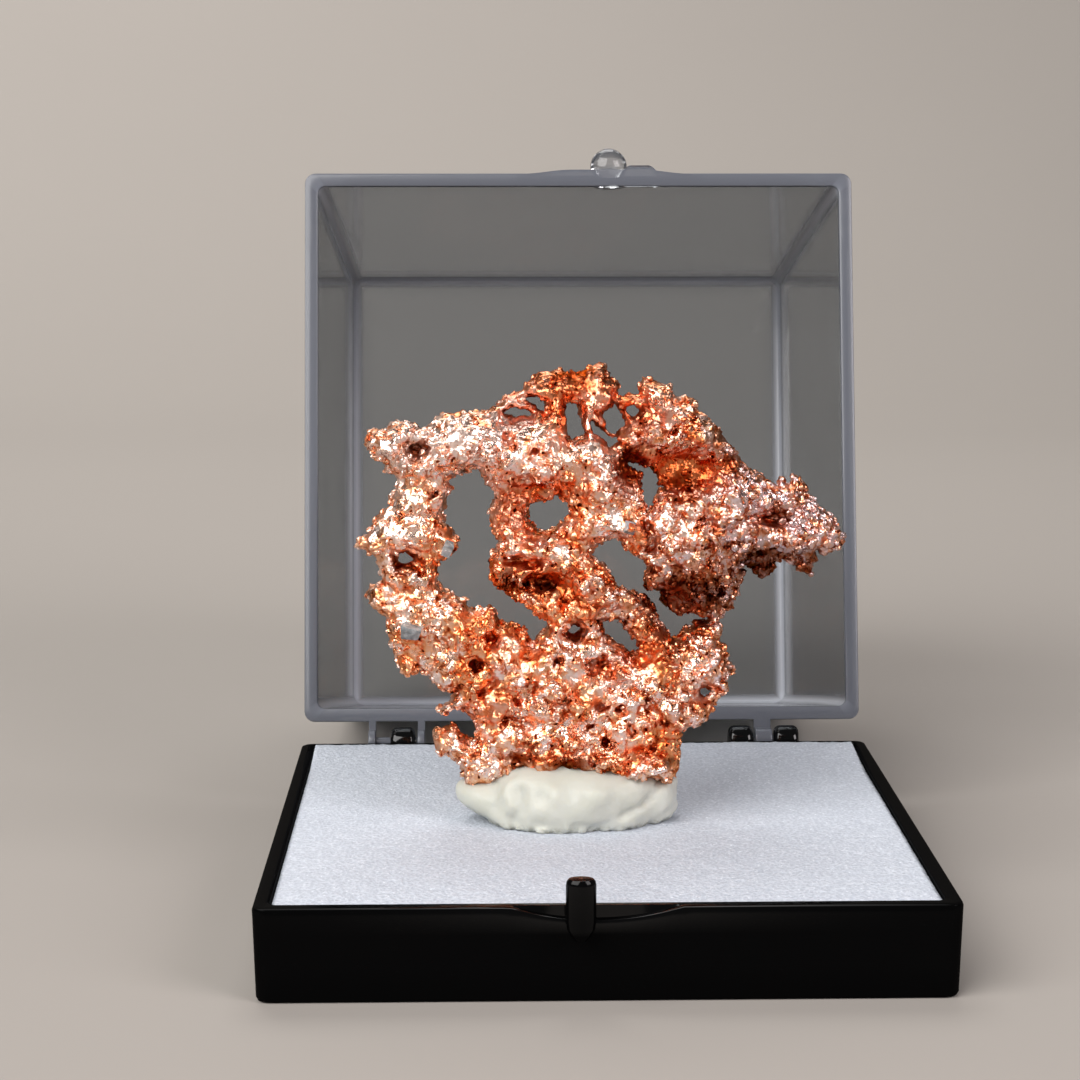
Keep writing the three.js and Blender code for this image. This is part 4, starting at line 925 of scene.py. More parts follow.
# Finishes
def copper_finish(look):
    finish = Finish("native_copper")
    proud, shut, rosy, red_shade, painted_shade, painted_light = [
        finish.attribute(name) for name in ("proud", "shut", "rosy", "red_shade", "painted_shade", "painted_light")
    ]
    bent = finish.swayed(1300, 0.0008)
    coarse = finish.cells(900, vector=bent)
    fine = finish.cells(2200, vector=bent)
    tilted, tone = finish.facets(1150, bent)
    tilted_small, tone_small = finish.facets(2400, bent)
    facets = tone * 0.65 + tone_small * 0.35
    crumb = finish.noise(2400, 1, 0.6)
    holes = finish.spread(finish.cells(820, vector=bent), 0.1, 0.2, 1, 0)
    holes = holes + finish.spread(finish.cells(1500, vector=bent), 0.07, 0.14, 1, 0)
    hackly = finish.spread(finish.noise(260, 2, 0.5, seed=5.0), 0.44, 0.56, 0.3, 1.0)
    calm = finish.spread(finish.noise(190, 2, 0.5, seed=9.0), 0.49, 0.6)
    relief = 0.5 - coarse * coarse * 0.9 - fine * fine * 0.35 + (crumb - 0.5) * 0.6
    domes = 0.55 + relief * hackly - holes * 0.6
    broad = finish.noise(380, 3, 0.6)
    uneven = facets - 0.5
    rough = hackly * 0.6 + 0.4
    # Painted shade and light in the metal's tone: grain tops and crests lighter; the gaps between
    # grains, the pits, the shut-in hollows and the shade spots darker; the light spots lighter.
    # Facet tones and broad noise vary at random.
    level = domes * 0.7 + uneven * rough * 0.8 - finish.spread(shut, 0.4, 1.2) * 0.3
    level = level + uneven * rosy * 0.5 + 0.33 - calm * 0.05 + proud * 0.3
    level = level + (broad - 0.5) * 0.9 + painted_light * 0.2 - painted_shade * 0.2 - holes * 0.2
    metal = finish.ramp(finish.spread(level, 0.0, 1.1), [
        (0.0, (0.03, 0.004, 0.002)),
        (0.14, (0.16, 0.022, 0.008)),
        (0.3, (0.42, 0.095, 0.035)),
        (0.44, tuple(look.deep_colour)),
        (0.6, tuple(look.copper_colour)),
        (0.82, tuple(look.bright_colour)),
    ])
    # Painted shade: the metal darkens where its surface turns away from the view
    facing = finish.node("ShaderNodeLayerWeight", None, {"Blend": 0.5}, "Facing")
    for share, tint in [
        (calm * (1.0 - painted_light) * 0.9, (0.94, 0.60, 0.35)),
        # Shut-in hollows: painted shade, and redder for the red oxide that real hollows hold
        (finish.spread(shut, 0.5, 1.1) * 0.5, (0.80, 0.26, 0.10)),
        # Painted deep-red shade of the hollows and slots
        (red_shade, (0.68, 0.25, 0.10)),
        (rosy * 0.45, tuple(look.rosy_colour)),
        # Painted shade spots
        (painted_shade, (0.30, 0.20, 0.17)),
        # Painted shade at the turned-away edges
        (finish.spread(facing, 0.62, 0.97, 0.0, 0.7), (0.34, 0.17, 0.12)),
    ]:
        metal = finish.blend(share, metal, tint, "MULTIPLY")
    patches = finish.noise(300, 2, 0.6, seed=2.0)
    roughness = finish.spread(patches, 0.35, 0.75, look.roughness - 0.08, look.roughness + 0.1)
    sides = (tilted * 2.4 + tilted_small * 0.6) * rough
    normal = finish.bump((domes * 0.55 + sides) * (1.0 - calm * 0.45), 0.00017)
    return finish.surface(
        Base_Color=metal, Metallic=1.0, Roughness=roughness, Normal=normal,
        Specular_Tint=(1.0, 0.62, 0.45, 1.0),
    )


def black_finish(look):
    finish = Finish("black_plastic")
    scuffs = finish.noise(900, 4, 0.7, 0.4)
    dust = finish.spread(finish.cells(1400), 0.03, 0.09, 1, 0)
    roughness = finish.spread(scuffs, 0.35, 0.75, look.roughness, look.roughness + 0.14)
    colour = finish.blend(dust * 0.03, tuple(look.black_colour), (0.09, 0.09, 0.1))
    normal = finish.bump(finish.noise(220, 2, 0.5), 0.00012, 0.25)
    return finish.surface(
        Base_Color=colour, Roughness=roughness, Normal=normal, Specular_IOR_Level=0.0,
        Coat_Weight=finish.attribute("gloss"), Coat_Roughness=0.1,
    )


def clear_finish(look):
    finish = Finish("clear_plastic")
    haze = finish.noise(160, 3, 0.6)
    roughness = finish.spread(haze, 0.3, 0.8, look.roughness, look.roughness + 0.05)
    normal = finish.bump(finish.noise(70, 2, 0.5), 0.0004, 0.1)
    catch = finish.attribute("catch")
    passed = finish.blend(catch, tuple(look.clear_colour), (0.88, 0.90, 0.90))
    clear = finish.shader(
        Base_Color=passed, Roughness=roughness, Normal=normal,
        IOR=1.49, Transmission_Weight=1.0,
    )
    # Painted light: a lit diffuse band over the rim, the lines where the walls meet and the stub
    # stands for light passing through the clear edges and corners
    line = finish.attribute("line")
    shine = finish.blend(line, tuple(look.edge_colour), tuple(look.line_colour))
    lit_sheet = finish.shader(Base_Color=shine, Roughness=0.3, Normal=normal)
    share = finish.attribute("edge") * look.edge_share
    return finish.done(finish.node("ShaderNodeMixShader", None, {0: share, 1: clear, 2: lit_sheet}))


def foam_finish(look):
    finish = Finish("white_foam")
    broad = finish.noise(90, 3, 0.6)
    fine = finish.noise(3400, 3, 0.75)
    pores = finish.cells(2400)
    speckle = fine * 1.1 + pores * 0.5 + broad * 0.2
    colour = finish.ramp(finish.spread(speckle, 0.45, 1.25), [
        (0.0, tuple(look.shade_colour)),
        (0.5, tuple(look.foam_colour)),
        (1.0, (0.64, 0.68, 0.75)),
    ])
    glints = finish.spread(finish.cells(1500), 0.1, 0.2, 1, 0)
    colour = finish.blend(glints * 0.6, colour, (0.90, 0.94, 1.0))
    normal = finish.bump(pores * 0.5 + fine * 0.8, 0.0003, 0.6)
    return finish.surface(
        Base_Color=colour, Roughness=0.7, Normal=normal,
        Subsurface_Weight=0.15, Subsurface_Radius=(0.9, 0.95, 1.0), Subsurface_Scale=0.0008,
    )


def putty_finish(look):
    finish = Finish("white_putty")
    broad = finish.noise(110, 3, 0.55)
    fine = finish.noise(1100, 4, 0.65)
    colour = finish.ramp(broad, [
        (0.3, (0.46, 0.47, 0.41)),
        (0.55, tuple(look.putty_colour)),
        (0.8, (0.585, 0.59, 0.545)),
    ])
    # Dark crumbly specks, denser towards the putty's foot
    foot_share = finish.spread(finish.attribute("foot"), 0.35, 1.0)
    crumbs = finish.spread(finish.noise(1500, 3, 0.6), 0.45, 0.6)
    colour = finish.blend(foot_share * crumbs * 0.8, colour, (0.20, 0.20, 0.15))
    roughness = finish.spread(fine, 0.3, 0.7, 0.42, 0.62)
    normal = finish.bump(fine * 0.5 + finish.noise(380, 3, 0.6), 0.0003, 0.35)
    return finish.surface(
        Base_Color=colour, Roughness=roughness, Normal=normal,
        Subsurface_Weight=0.35, Subsurface_Radius=(1.0, 0.85, 0.6), Subsurface_Scale=0.0016,
    )


def quartz_finish(look):
    finish = Finish("cloudy_quartz")
    veins = finish.noise(900, 4, 0.65, 0.6)
    colour = finish.ramp(veins, [
        (0.35, (0.20, 0.23, 0.24)),
        (0.55, tuple(look.quartz_colour)),
        (0.75, (0.80, 0.84, 0.86)),
    ])
    normal = finish.bump(veins, 0.0003, 0.4)
    return finish.surface(
        Base_Color=colour, Roughness=finish.spread(veins, 0.3, 0.8, 0.08, 0.35), Normal=normal,
        IOR=1.54, Transmission_Weight=0.5,
    )


# Looks that a user may change
def colour_setting(name, text, default):
    return FloatVectorProperty(
        name=name, description=text, default=default, subtype="COLOR", size=3, min=0, max=1,
    )


def share_setting(name, text, default, least=0.0):
    return FloatProperty(name=name, description=text, default=default, min=least, max=1)


def length_setting(name, text, default, least, greatest):
    return FloatProperty(
        name=name, description=text, default=default, min=least, max=greatest,
        unit="LENGTH", precision=5,
    )


def seed_setting(name, text, default):
    return IntProperty(name=name, description=text, default=default, min=0, max=1000)


class CopperLook(bpy.types.PropertyGroup):
    """Colours and gloss of the copper"""
    bright_colour: colour_setting("Bright colour", "Metal on the crests", (1.0, 0.78, 0.69))
    copper_colour: colour_setting("Copper colour", "Metal on the open faces", (0.97, 0.54, 0.335))
    deep_colour: colour_setting("Deep colour", "Metal low between grains", (0.78, 0.28, 0.115))
    rosy_colour: colour_setting("Rosy colour", "Tint of the darker arm", (0.72, 0.72, 0.98))
    roughness: share_setting("Roughness", "Gloss of the metal", 0.31, 0.02)
    crust_seed: seed_setting("Crust seed", "Which grains", 0)


class BoxLook(bpy.types.PropertyGroup):
    """Colours and gloss of the tray and the lid"""
    black_colour: colour_setting("Tray colour", "Black plastic", (0.0015, 0.0015, 0.0016))
    clear_colour: colour_setting("Lid colour", "What its walls pass", (0.36, 0.385, 0.41))
    # The edge and corner colours are those of the painted light band over the lid's rim and corner
    # lines
    edge_colour: colour_setting("Lid edge colour", "What its edges show", (0.13, 0.14, 0.168))
    line_colour: colour_setting("Lid corner colour", "Between walls", (0.44, 0.455, 0.50))
    # Share of the painted light band over the lid's rim, corners and stub
    edge_share: share_setting("Milky edges", "How far the lid's edges cloud", 0.75)
    roughness: share_setting("Roughness", "Gloss of the plastic", 0.05)


class SoftLook(bpy.types.PropertyGroup):
    """Sizes and colours of the foam and the putty"""
    foam_colour: colour_setting("Foam colour", "Open foam", (0.49, 0.53, 0.60))
    shade_colour: colour_setting("Shade colour", "Low places of the foam", (0.37, 0.40, 0.46))
    putty_colour: colour_setting("Putty colour", "Mineral tack", (0.53, 0.535, 0.48))
    quartz_colour: colour_setting("Quartz colour", "Small grains", (0.50, 0.56, 0.58))
    cell_size: length_setting("Foam cell", "Size of the cells", 0.00055, 0.0002, 0.003)
    cell_depth: length_setting("Foam relief", "Depth of the cells", 0.00022, 0.0, 0.002)
    seed: seed_setting("Seed", "Which foam", 4)


class StageLook(bpy.types.PropertyGroup):
    """Floor, light and camera"""
    floor_colour: colour_setting("Floor colour", "Pale floor", (0.338, 0.312, 0.288))
    air_colour: colour_setting("Air colour", "Light from all round", (0.80, 0.80, 0.82))
    air_strength: share_setting("Air", "Strength of the light from all round", 0.13)
    light_power: FloatProperty(
        name="Light", description="Power that the lights share", default=9.0, min=0, unit="POWER",
    )


def crust_tree():
    """Small grains of metal grown all over a surface."""
    build = Growth(
        "crust", Per_Area="Float", Least_Radius="Float", Greatest_Radius="Float", Seed="Int",
        Round="Bool", Rosy_Only="Float",
    )
    given = build.given

    def random(kind, inputs, shift=0, output=0):
        seed = given["Seed"] + shift if shift else given["Seed"]
        settings = {"data_type": kind}
        return build.node("FunctionNodeRandomValue", settings, {**inputs, "Seed": seed}, output)

    inputs = {"Vector": build.place, "Scale": 420.0, "Detail": 2.0}
    clumps = build.node("ShaderNodeTexNoise", None, inputs, "Fac")
    share = build.spread(clumps, 0.38, 0.6, 0.15, 1.6)
    rosy_only = given["Rosy Only"]
    share = share * (1.0 - rosy_only) + build.stored("rosy") * rosy_only
    density = given["Per Area"] * share * (1.0 - build.stored("bare"))
    inputs = {"Mesh": given["Surface"], "Density": density, "Seed": given["Seed"]}
    scattered = build.node("GeometryNodeDistributePointsOnFaces", None, inputs)
    upright = Value(build, scattered.socket.node.outputs["Rotation"])
    lean = random("FLOAT_VECTOR", {0: (-0.8, -0.8, -3.14), 1: (0.8, 0.8, 3.14)})
    turn = build.node("FunctionNodeRotateRotation", {"rotation_space": "LOCAL"}, {
        "Rotation": upright, "Rotate By": lean,
    })
    stretch = random("FLOAT_VECTOR", {0: (0.7, 0.45, 0.35), 1: (1.6, 1.05, 0.8)}, 1)
    radius = random("FLOAT", {2: given["Least Radius"], 3: given["Greatest Radius"]}, 2, 1)
    size = build.node("ShaderNodeVectorMath", {"operation": "SCALE"}, {0: stretch, "Scale": radius})
    grain = build.node("GeometryNodeMeshIcoSphere", None, {"Radius": 1.0, "Subdivisions": 1})
    grains = build.real(build.node("GeometryNodeInstanceOnPoints", None, {
        "Points": scattered, "Instance": grain, "Rotation": turn, "Scale": size,
    }))
    inputs = {"Geometry": grains, "Shade Smooth": given["Round"]}
    return build.done(build.node("GeometryNodeSetShadeSmooth", None, inputs))


def grown_crust(tree, surface, shift, name, per_area, least, greatest, seed, rounded, rosy):
    """A piece of small grains over the copper, with the copper's own stored numbers."""
    piece = placed(name, surface.data)
    tree.change(piece, {
        "Per Area": per_area / MM ** 2, "Least Radius": least * MM,
        "Greatest Radius": greatest * MM, "Seed": seed + shift, "Round": rounded,
        "Rosy Only": rosy, "Finish": surface.data.materials[0],
    })
    return piece


# Pieces
class COPPER_OT_nugget(bpy.types.Operator):
    """Make the copper nugget and its crusts of grains"""
    bl_idname = "copper.nugget"
    bl_label = "Copper nugget"

    def execute(self, context):
        look = context.scene.copper_look
        shape = CopperShape()
        points, quads = skin_of(sample_copper(shape), COPPER_LOW, COPPER_CELL)
        points, quads = largest_body(points, quads)
        points = settle(points.astype(np.float32), shape.at, COPPER_CELL)
        proud, shut = copper_relief(shape, points, quads)
        piece = mesh_object("copper_surface", points, quads, copper_finish(look))
        # proud and shut later paint light on the crests and shade into the hollows
        store(piece, "proud", proud)
        store(piece, "shut", shut)
        x, z = points[:, 0], points[:, 2]
        start, soft = ROSY_ARM
        lump_x, lump_z, across, up = ROSY_LUMP
        arm = 1 / (1 + np.exp(-(x - start) / soft))
        lump = bell((x - lump_x) / across, (z - lump_z) / up)
        store(piece, "rosy", np.clip(arm + lump, 0, 1))
        # Spots of painted red shade, painted shade and painted light
        for name, places in [("red_shade", RED_SHADE_SPOTS), ("painted_shade", SHADE_SPOTS), ("painted_light", LIGHT_SPOTS)]:
            store(piece, name, zone(x, z, places))
        store(piece, "bare", by_small_holes(x, z))
        tree = crust_tree()
        crusts = [grown_crust(tree, piece, look.crust_seed, *crust) for crust in CRUSTS]
        for part in [piece, *crusts]:
            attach(part, "box")
            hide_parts("copper_nugget")
        return {"FINISHED"}

class COPPER_OT_quartz(bpy.types.Operator):
    """Make the quartz grains grown into the copper"""
    bl_idname = "copper.quartz"
    bl_label = "Quartz grains"

    def execute(self, context):
        finish = quartz_finish(context.scene.soft_look)
        for number, (name, middle, size, turn, node) in enumerate(QUARTZ):
            draw = np.random.default_rng(70 + number)
            spots = np.array(list(product((-1, 1), repeat=3))) * draw.uniform(0.45, 0.95, (8, 3))
            mesh = bpy.data.meshes.new(name)
            built = bmesh.new()
            turned = Matrix.Rotation(turn[0], 3, "X") @ Matrix.Rotation(turn[1], 3, "Y")
            for spot in spots:
                place = turned @ Vector(spot * np.array(size))
                built.verts.new((place + Vector(middle)) * MM)
            hull = bmesh.ops.convex_hull(built, input=built.verts)
            inner = [v for v in hull["geom_interior"] if isinstance(v, bmesh.types.BMVert)]
            bmesh.ops.delete(built, geom=inner, context="VERTS")
            edges = built.edges[:]
            bmesh.ops.bevel(built, geom=edges, offset=0.04 * MM, segments=1, affect="EDGES")
            built.to_mesh(mesh)
            built.free()
            mesh.materials.append(finish)
            piece = placed(name, mesh)
            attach(piece, "box")
            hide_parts(node)
        return {"FINISHED"}


def near_fold(p, bends, width):
    """One along a bent line on the putty's front, fading to nothing away from it."""
    nearest = 1e9
    for start, end in zip(bends, bends[1:]):
        nearest = np.minimum(nearest, np.hypot(*along(p[:, 0], p[:, 2], start, end)))
    return np.exp(-((nearest / width) ** 2)) * (p[:, 1] < 0)


def putty_level(p):
    """The putty's field: pressed lobes blended together, with folds."""
    blended = 0
    for middle, size, under in PUTTY_LOBES:
        away = (p - np.array(middle)) / np.array(size)
        away[:, 2] = np.where(away[:, 2] < 0, away[:, 2] * size[2] / under, away[:, 2])
        flat = np.hypot(away[:, 0], away[:, 1]) ** PUTTY_FULLNESS
        reach = (flat + np.abs(away[:, 2]) ** PUTTY_FULLNESS) ** (1 / PUTTY_FULLNESS)
        blended = blended + np.exp(-((reach - 1) * min(size)) / PUTTY_BLEND)
    lump = -PUTTY_BLEND * np.log(blended)
    lump = lump + 0.24 * smooth_noise(p, 3.4, 7) + 0.12 * smooth_noise(p, 1.5, 9)
    for bends, depth, width in PUTTY_FOLDS:
        lump = lump + depth * near_fold(p, bends, width)
    crumbly = np.clip(1.6 - (p[:, 2] - PUTTY_BOTTOM), 0, 1)
    lump = lump + crumbly * 0.22 * smooth_noise(p, 0.8, 13)
    return np.maximum(lump, PUTTY_BOTTOM - p[:, 2])


class COPPER_OT_putty(bpy.types.Operator):
    """Make the pressed lump of putty"""
    bl_idname = "copper.putty"
    bl_label = "Putty"

    def execute(self, context):
        axes = [np.arange(a, b, PUTTY_CELL) for a, b in zip(PUTTY_LOW, PUTTY_HIGH)]
        grid = np.stack(np.meshgrid(*axes, indexing="ij"), axis=-1)
        value = putty_level(grid.reshape(-1, 3)).reshape(grid.shape[:3])
        points, quads = largest_body(*skin_of(value, PUTTY_LOW, PUTTY_CELL))
        points = settle(points, putty_level, PUTTY_CELL, 2)
        finish = putty_finish(context.scene.soft_look)
        piece = mesh_object("putty_lump", points, quads, finish)
        store(piece, "foot", np.clip(1 - (points[:, 2] - PUTTY_BOTTOM - 0.3) / 1.0, 0, 1))
        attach(piece, "box")
        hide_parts("putty")
        return {"FINISHED"}


def foam_tree():
    """A slab whose top is a fine open grain."""
    build = Growth("foam_grain", Top="Float", Cell_Size="Float", Cell_Depth="Float", Seed="Int")
    given = build.given
    seeded = {"Vector": build.place, "W": given["Seed"]}

    def noise(**inputs):
        inputs = {**seeded, **inputs}
        return build.node("ShaderNodeTexNoise", {"noise_dimensions": "4D"}, inputs, "Fac")

    height = build.node("ShaderNodeSeparateXYZ", None, {0: build.place}, 2)
    cell = {0: 1.0, 1: given["Cell Size"]}
    per_metre = build.node("ShaderNodeMath", {"operation": "DIVIDE"}, cell)
    settings = {"voronoi_dimensions": "4D", "feature": "F1"}
    inputs = {**seeded, "Scale": per_metre}
    cells = build.node("ShaderNodeTexVoronoi", settings, inputs, "Distance")
    fine = noise(Scale=per_metre * 0.5, Detail=3.0)
    broad = noise(Scale=45.0, Detail=2.0)
    relief = (cells * 0.6 + fine * 1.2 - 1.0) * given["Cell Depth"] + (broad - 0.5) * 0.0003
    share = build.spread(height, given["Top"] - 0.0012, given["Top"])
    move = build.node("ShaderNodeCombineXYZ", None, {2: relief * share})
    inputs = {"Geometry": given["Surface"], "Offset": move}
    return build.done(build.real(build.node("GeometryNodeSetPosition", None, inputs)))


def foam_slab(side):
    """The slab before its grain: a fine square top, then its sides down into the tray."""
    line = np.linspace(-1, 1, FOAM_COUNT)
    u, v = np.meshgrid(line, line, indexing="ij")
    crown = FOAM_CROWN * (1 - np.maximum(np.abs(u), np.abs(v)) ** 6) - FOAM_SETTLED
    crown += FOAM_BACK_RISE * np.clip((v - 0.55) / 0.4, 0, 1) ** 2
    top = np.stack([u * side, v * side, FOAM_TOP + crown], axis=-1).reshape(-1, 3)
    number = np.arange(FOAM_COUNT * FOAM_COUNT).reshape(FOAM_COUNT, FOAM_COUNT)
    around = [number[:-1, :-1], number[1:, :-1], number[1:, 1:], number[:-1, 1:]]
    points, faces = [*top], [tuple(q) for q in np.stack(around, axis=-1).reshape(-1, 4)]
    rim = [number[:-1, 0], number[-1, :-1], number[:0:-1, -1], number[0, :0:-1]]
    rim = above = np.concatenate(rim)
    bottom = FLOOR_THICKNESS + FOAM_GAP
    for z in [FOAM_TOP - 2.4, bottom + 2.5, bottom]:
        shrink = (side - (BASE_HEIGHT - z) * math.tan(math.radians(BASE_DRAFT))) / side
        start = len(points)
        points.extend((top[n][0] * shrink, top[n][1] * shrink, z) for n in rim)
        below = np.arange(start, start + len(rim))
        corners = [above, below, np.roll(below, -1), np.roll(above, -1)]
        faces.extend(zip(*corners))
        above = below
    faces.append(tuple(above[::-1]))
    return points, [tuple(int(v) for v in face) for face in faces]


class COPPER_OT_foam(bpy.types.Operator):
    """Make the foam pad"""
    bl_idname = "copper.foam"
    bl_label = "Foam pad"

    def execute(self, context):
        look = context.scene.soft_look
        finish = foam_finish(look)
        piece = mesh_object("foam_sheet", *foam_slab(BOX_HALF - WALL - FOAM_GAP), finish)
        foam_tree().change(piece, {
            "Top": FOAM_TOP * MM, "Cell Size": look.cell_size, "Cell Depth": look.cell_depth,
            "Seed": look.seed, "Finish": finish,
        })
        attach(piece, "box")
        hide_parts("foam_pad")
        return {"FINISHED"}


def tray_shape():
    """The tray's rings, from underneath, up the outside, over the rim and down the inside."""
    lean = math.tan(math.radians(BASE_DRAFT))
    inner_radius = CORNER_RADIUS * 0.6

    def ring(half, radius, z, scooped=False):
        points = []
        drop_radius = (SCOOP["half_width"] ** 2 + SCOOP["depth"] ** 2) / (2 * SCOOP["depth"])
        for x, y in rounded_square(half, radius, side_steps=64):
            dx = x - SCOOP["x"]
            drop = 0.0
            if scooped and y < -half + 1e-4 and abs(dx) < SCOOP["half_width"]:
                drop = SCOOP["depth"] - drop_radius + math.sqrt(drop_radius ** 2 - dx ** 2)
            points.append((x, y, z - drop))
        return points

    outer = lambda z: BOX_HALF - (BASE_HEIGHT - z) * lean
    top = BASE_HEIGHT
    r = RIM_ROUND
    rings = [
        ring(outer(0) - 1.2, CORNER_RADIUS * 0.7, 0.0),
        ring(outer(0) - 0.5, CORNER_RADIUS * 0.8, 0.0),
        ring(outer(0) - 0.16, CORNER_RADIUS * 0.95, 0.14),
        ring(outer(0.5), CORNER_RADIUS, 0.5),
        ring(outer(3.5), CORNER_RADIUS, 3.5),
        ring(outer(6.8), CORNER_RADIUS, 6.8),
        ring(outer(top - r), CORNER_RADIUS, top - r, True),
        ring(outer(top) - r * 0.29, CORNER_RADIUS - r * 0.29, top - r * 0.29, True),
        ring(outer(top) - r, CORNER_RADIUS - r, top, True),
        ring(outer(top) - SCOOP["inward"], CORNER_RADIUS - 0.5, top, True),
        ring(outer(top) - SCOOP["inward"] - 0.12, CORNER_RADIUS - 0.55, top),
        ring(outer(top) - WALL + 0.2, inner_radius, top),
        ring(outer(top) - WALL + 0.05, inner_radius, top - 0.05),
        ring(outer(top) - WALL, inner_radius, top - 0.2),
        ring(outer(5) - WALL, inner_radius, 5),
        ring(outer(FLOOR_THICKNESS) - WALL, inner_radius, FLOOR_THICKNESS),
    ]
    return ring_skin(rings)


def post_shape():
    """The catch post: elliptic, flared at its foot and rounded at its top."""
    levels = [
        (POST["bottom"] - 1.0, 0.35), (POST["bottom"] - 0.4, 0.7), (POST["bottom"] + 0.2, 0.92),
        (POST["bottom"] + 1.0, 1.0), (POST["top"] - 0.7, 1.0), (POST["top"] - 0.3, 0.95),
        (POST["top"] - 0.08, 0.82), (POST["top"], 0.6),
    ]
    centre_y = -BOX_HALF - 0.3 - POST["half_depth"]
    width, depth = POST["half_width"], POST["half_depth"]
    rings = [
        [(POST["x"] + width * share * c, centre_y + depth * share * s, z) for c, s in circle(36)]
        for z, share in levels
    ]
    return ring_skin(rings), centre_y


def tray_gloss(p):
    """High on the hinge parts, the post and the scoop, low on the scuffed walls."""
    hinge = p[:, 1] > BOX_HALF + 0.3
    post = (p[:, 1] < -BOX_HALF - 0.2) * np.clip((p[:, 2] - 8.5) / 2.5, 0, 1)
    scoop = bell((p[:, 0] - SCOOP["x"]) / 11, (p[:, 1] + BOX_HALF) / 1.5) * (p[:, 2] > 7.5)
    return np.clip(0.05 + hinge * 0.8 + post * 0.12 + scoop * 0.5, 0, 1)


class COPPER_OT_tray(bpy.types.Operator):
    """Make the black tray with its hinge barrels and catch post"""
    bl_idname = "copper.tray"
    bl_label = "Tray"

    def execute(self, context):
        post, centre_y = post_shape()
        reach = POST["half_width"] * 0.8
        shapes = [tray_shape(), post]
        shapes.append(box_shape(
            POST["x"] - reach, POST["x"] + reach, centre_y, -BOX_HALF + WALL / 2,
            POST["bottom"] - 0.6, BASE_HEIGHT - 1.3,
        ))
        for span in BARRELS:
            shapes.append(lathe_bar(span, BARREL_RADIUS, BARREL_ROUND))
            shapes.append(box_shape(
                span[0] + 0.3, span[1] - 0.3, BOX_HALF - 1, HINGE[1], WEB_BOTTOM, HINGE[2],
            ))
        shapes.append(box_shape(*STRUT, BOX_HALF - 1, HINGE[1] + 0.6, WEB_BOTTOM, STRUT_TOP))
        finish = black_finish(context.scene.box_look)
        points, faces = joined(shapes)
        piece = mesh_object("tray_shell", points, faces, finish)
        smooth_by_angle(piece, 32)
        store(piece, "gloss", tray_gloss(np.array(points)))
        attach(piece, "box")
        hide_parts("box_base")
        return {"FINISHED"}


def lid_shell():
    """The lid's rings, shut: over the top, down the outside, round the rim and up the inside."""
    lean = math.tan(math.radians(LID_DRAFT))
    rim = LID_RIM
    top = rim + LID_DEPTH
    ceiling = top - WALL
    outer = lambda z: BOX_HALF - (z - rim) * lean
    inner_radius = LID_CORNER_RADIUS - WALL * 0.6
    r = 0.22

    def ring(half, radius, z):
        return [(x, y, z) for x, y in rounded_square(half, radius)]

    def corner(z):
        share = min(1.0, (z - rim) / LID_CORNER_RISE)
        return CORNER_RADIUS + (LID_CORNER_RADIUS - CORNER_RADIUS) * share

    rings = []
    over = [(3.0, 0), (1.6, 0), (1.1, 0), (0.55, 0.12), (0.22, 0.35), (0.05, 0.8), (0.0, 1.4)]
    for half, z in over:
        rings.append(ring(outer(top - z) - half, LID_CORNER_RADIUS, top - z))
    for z in [top - 4, top - 18, rim + 18, rim + 4, rim + 1.2, rim + r]:
        rings.append(ring(outer(z), corner(z), z))
    rings.append(ring(outer(rim) - r * 0.3, CORNER_RADIUS, rim + r * 0.3))
    rings.append(ring(outer(rim) - r, CORNER_RADIUS, rim))
    rings.append(ring(outer(rim) - WALL + r, CORNER_RADIUS * 0.8, rim))
    rings.append(ring(outer(rim) - WALL + r * 0.3, CORNER_RADIUS * 0.75, rim + r * 0.3))
    within = [rim + r, rim + 0.6, rim + 4, rim + 18]
    for z in [*within, ceiling - 18, ceiling - 4, ceiling - 1.6, ceiling - 0.9]:
        share = min(1.0, (z - rim) / LID_CORNER_RISE)
        radius = CORNER_RADIUS * 0.7 + (inner_radius - CORNER_RADIUS * 0.7) * share
        rings.append(ring(outer(z) - WALL, radius, z))
    for half, z in [(0.1, 0.45), (0.35, 0.12), (0.8, 0.0), (1.5, 0.0), (3.0, 0.0)]:
        rings.append(ring(outer(ceiling - z) - WALL - half, inner_radius, ceiling - z))
    points, faces = ring_skin(rings)
    return points, [tuple(reversed(face)) for face in faces]


def lid_bump(x, half_width, proud, height):
    """A low swelling on the lid's front wall, flat at the rim and sloped at its ends."""
    rim = LID_RIM
    rings = []
    for z, share in [(rim, 0.96), (rim + 0.12, 1.0), (rim + height * 0.7, 1.0),
                     (rim + height * 0.93, 0.8), (rim + height, 0.45)]:
        front = []
        for t in np.linspace(-1, 1, 25):
            rise = 0.5 + 0.5 * math.cos(math.pi * min(1, max(0, (abs(t) - 0.4) / 0.6)))
            front.append((x + t * half_width, -BOX_HALF + 0.1 - (proud + 0.1) * rise * share, z))
        back = [(px, LID_FRONT, z) for px, _, _ in reversed(front)]
        rings.append(front + back)
    return ring_skin(rings)


def stub_shape():
    """The thumb stub: a flattened ball cut off at the front wall."""
    rim = LID_RIM
    middle_y = -BOX_HALF - STUB["proud"] + STUB["radius"]
    middle_z = rim + STUB["height"] / 2
    rings = []
    for a in np.linspace(-math.pi / 2 + 0.12, math.pi / 2 - 0.12, 15):
        r = STUB["radius"] * math.cos(a)
        z = middle_z + STUB["height"] / 2 * math.sin(a)
        rings.append([(STUB["x"] + r * c, min(middle_y + r * s, LID_FRONT), z)
                      for c, s in circle(32)])
    return ring_skin(rings)


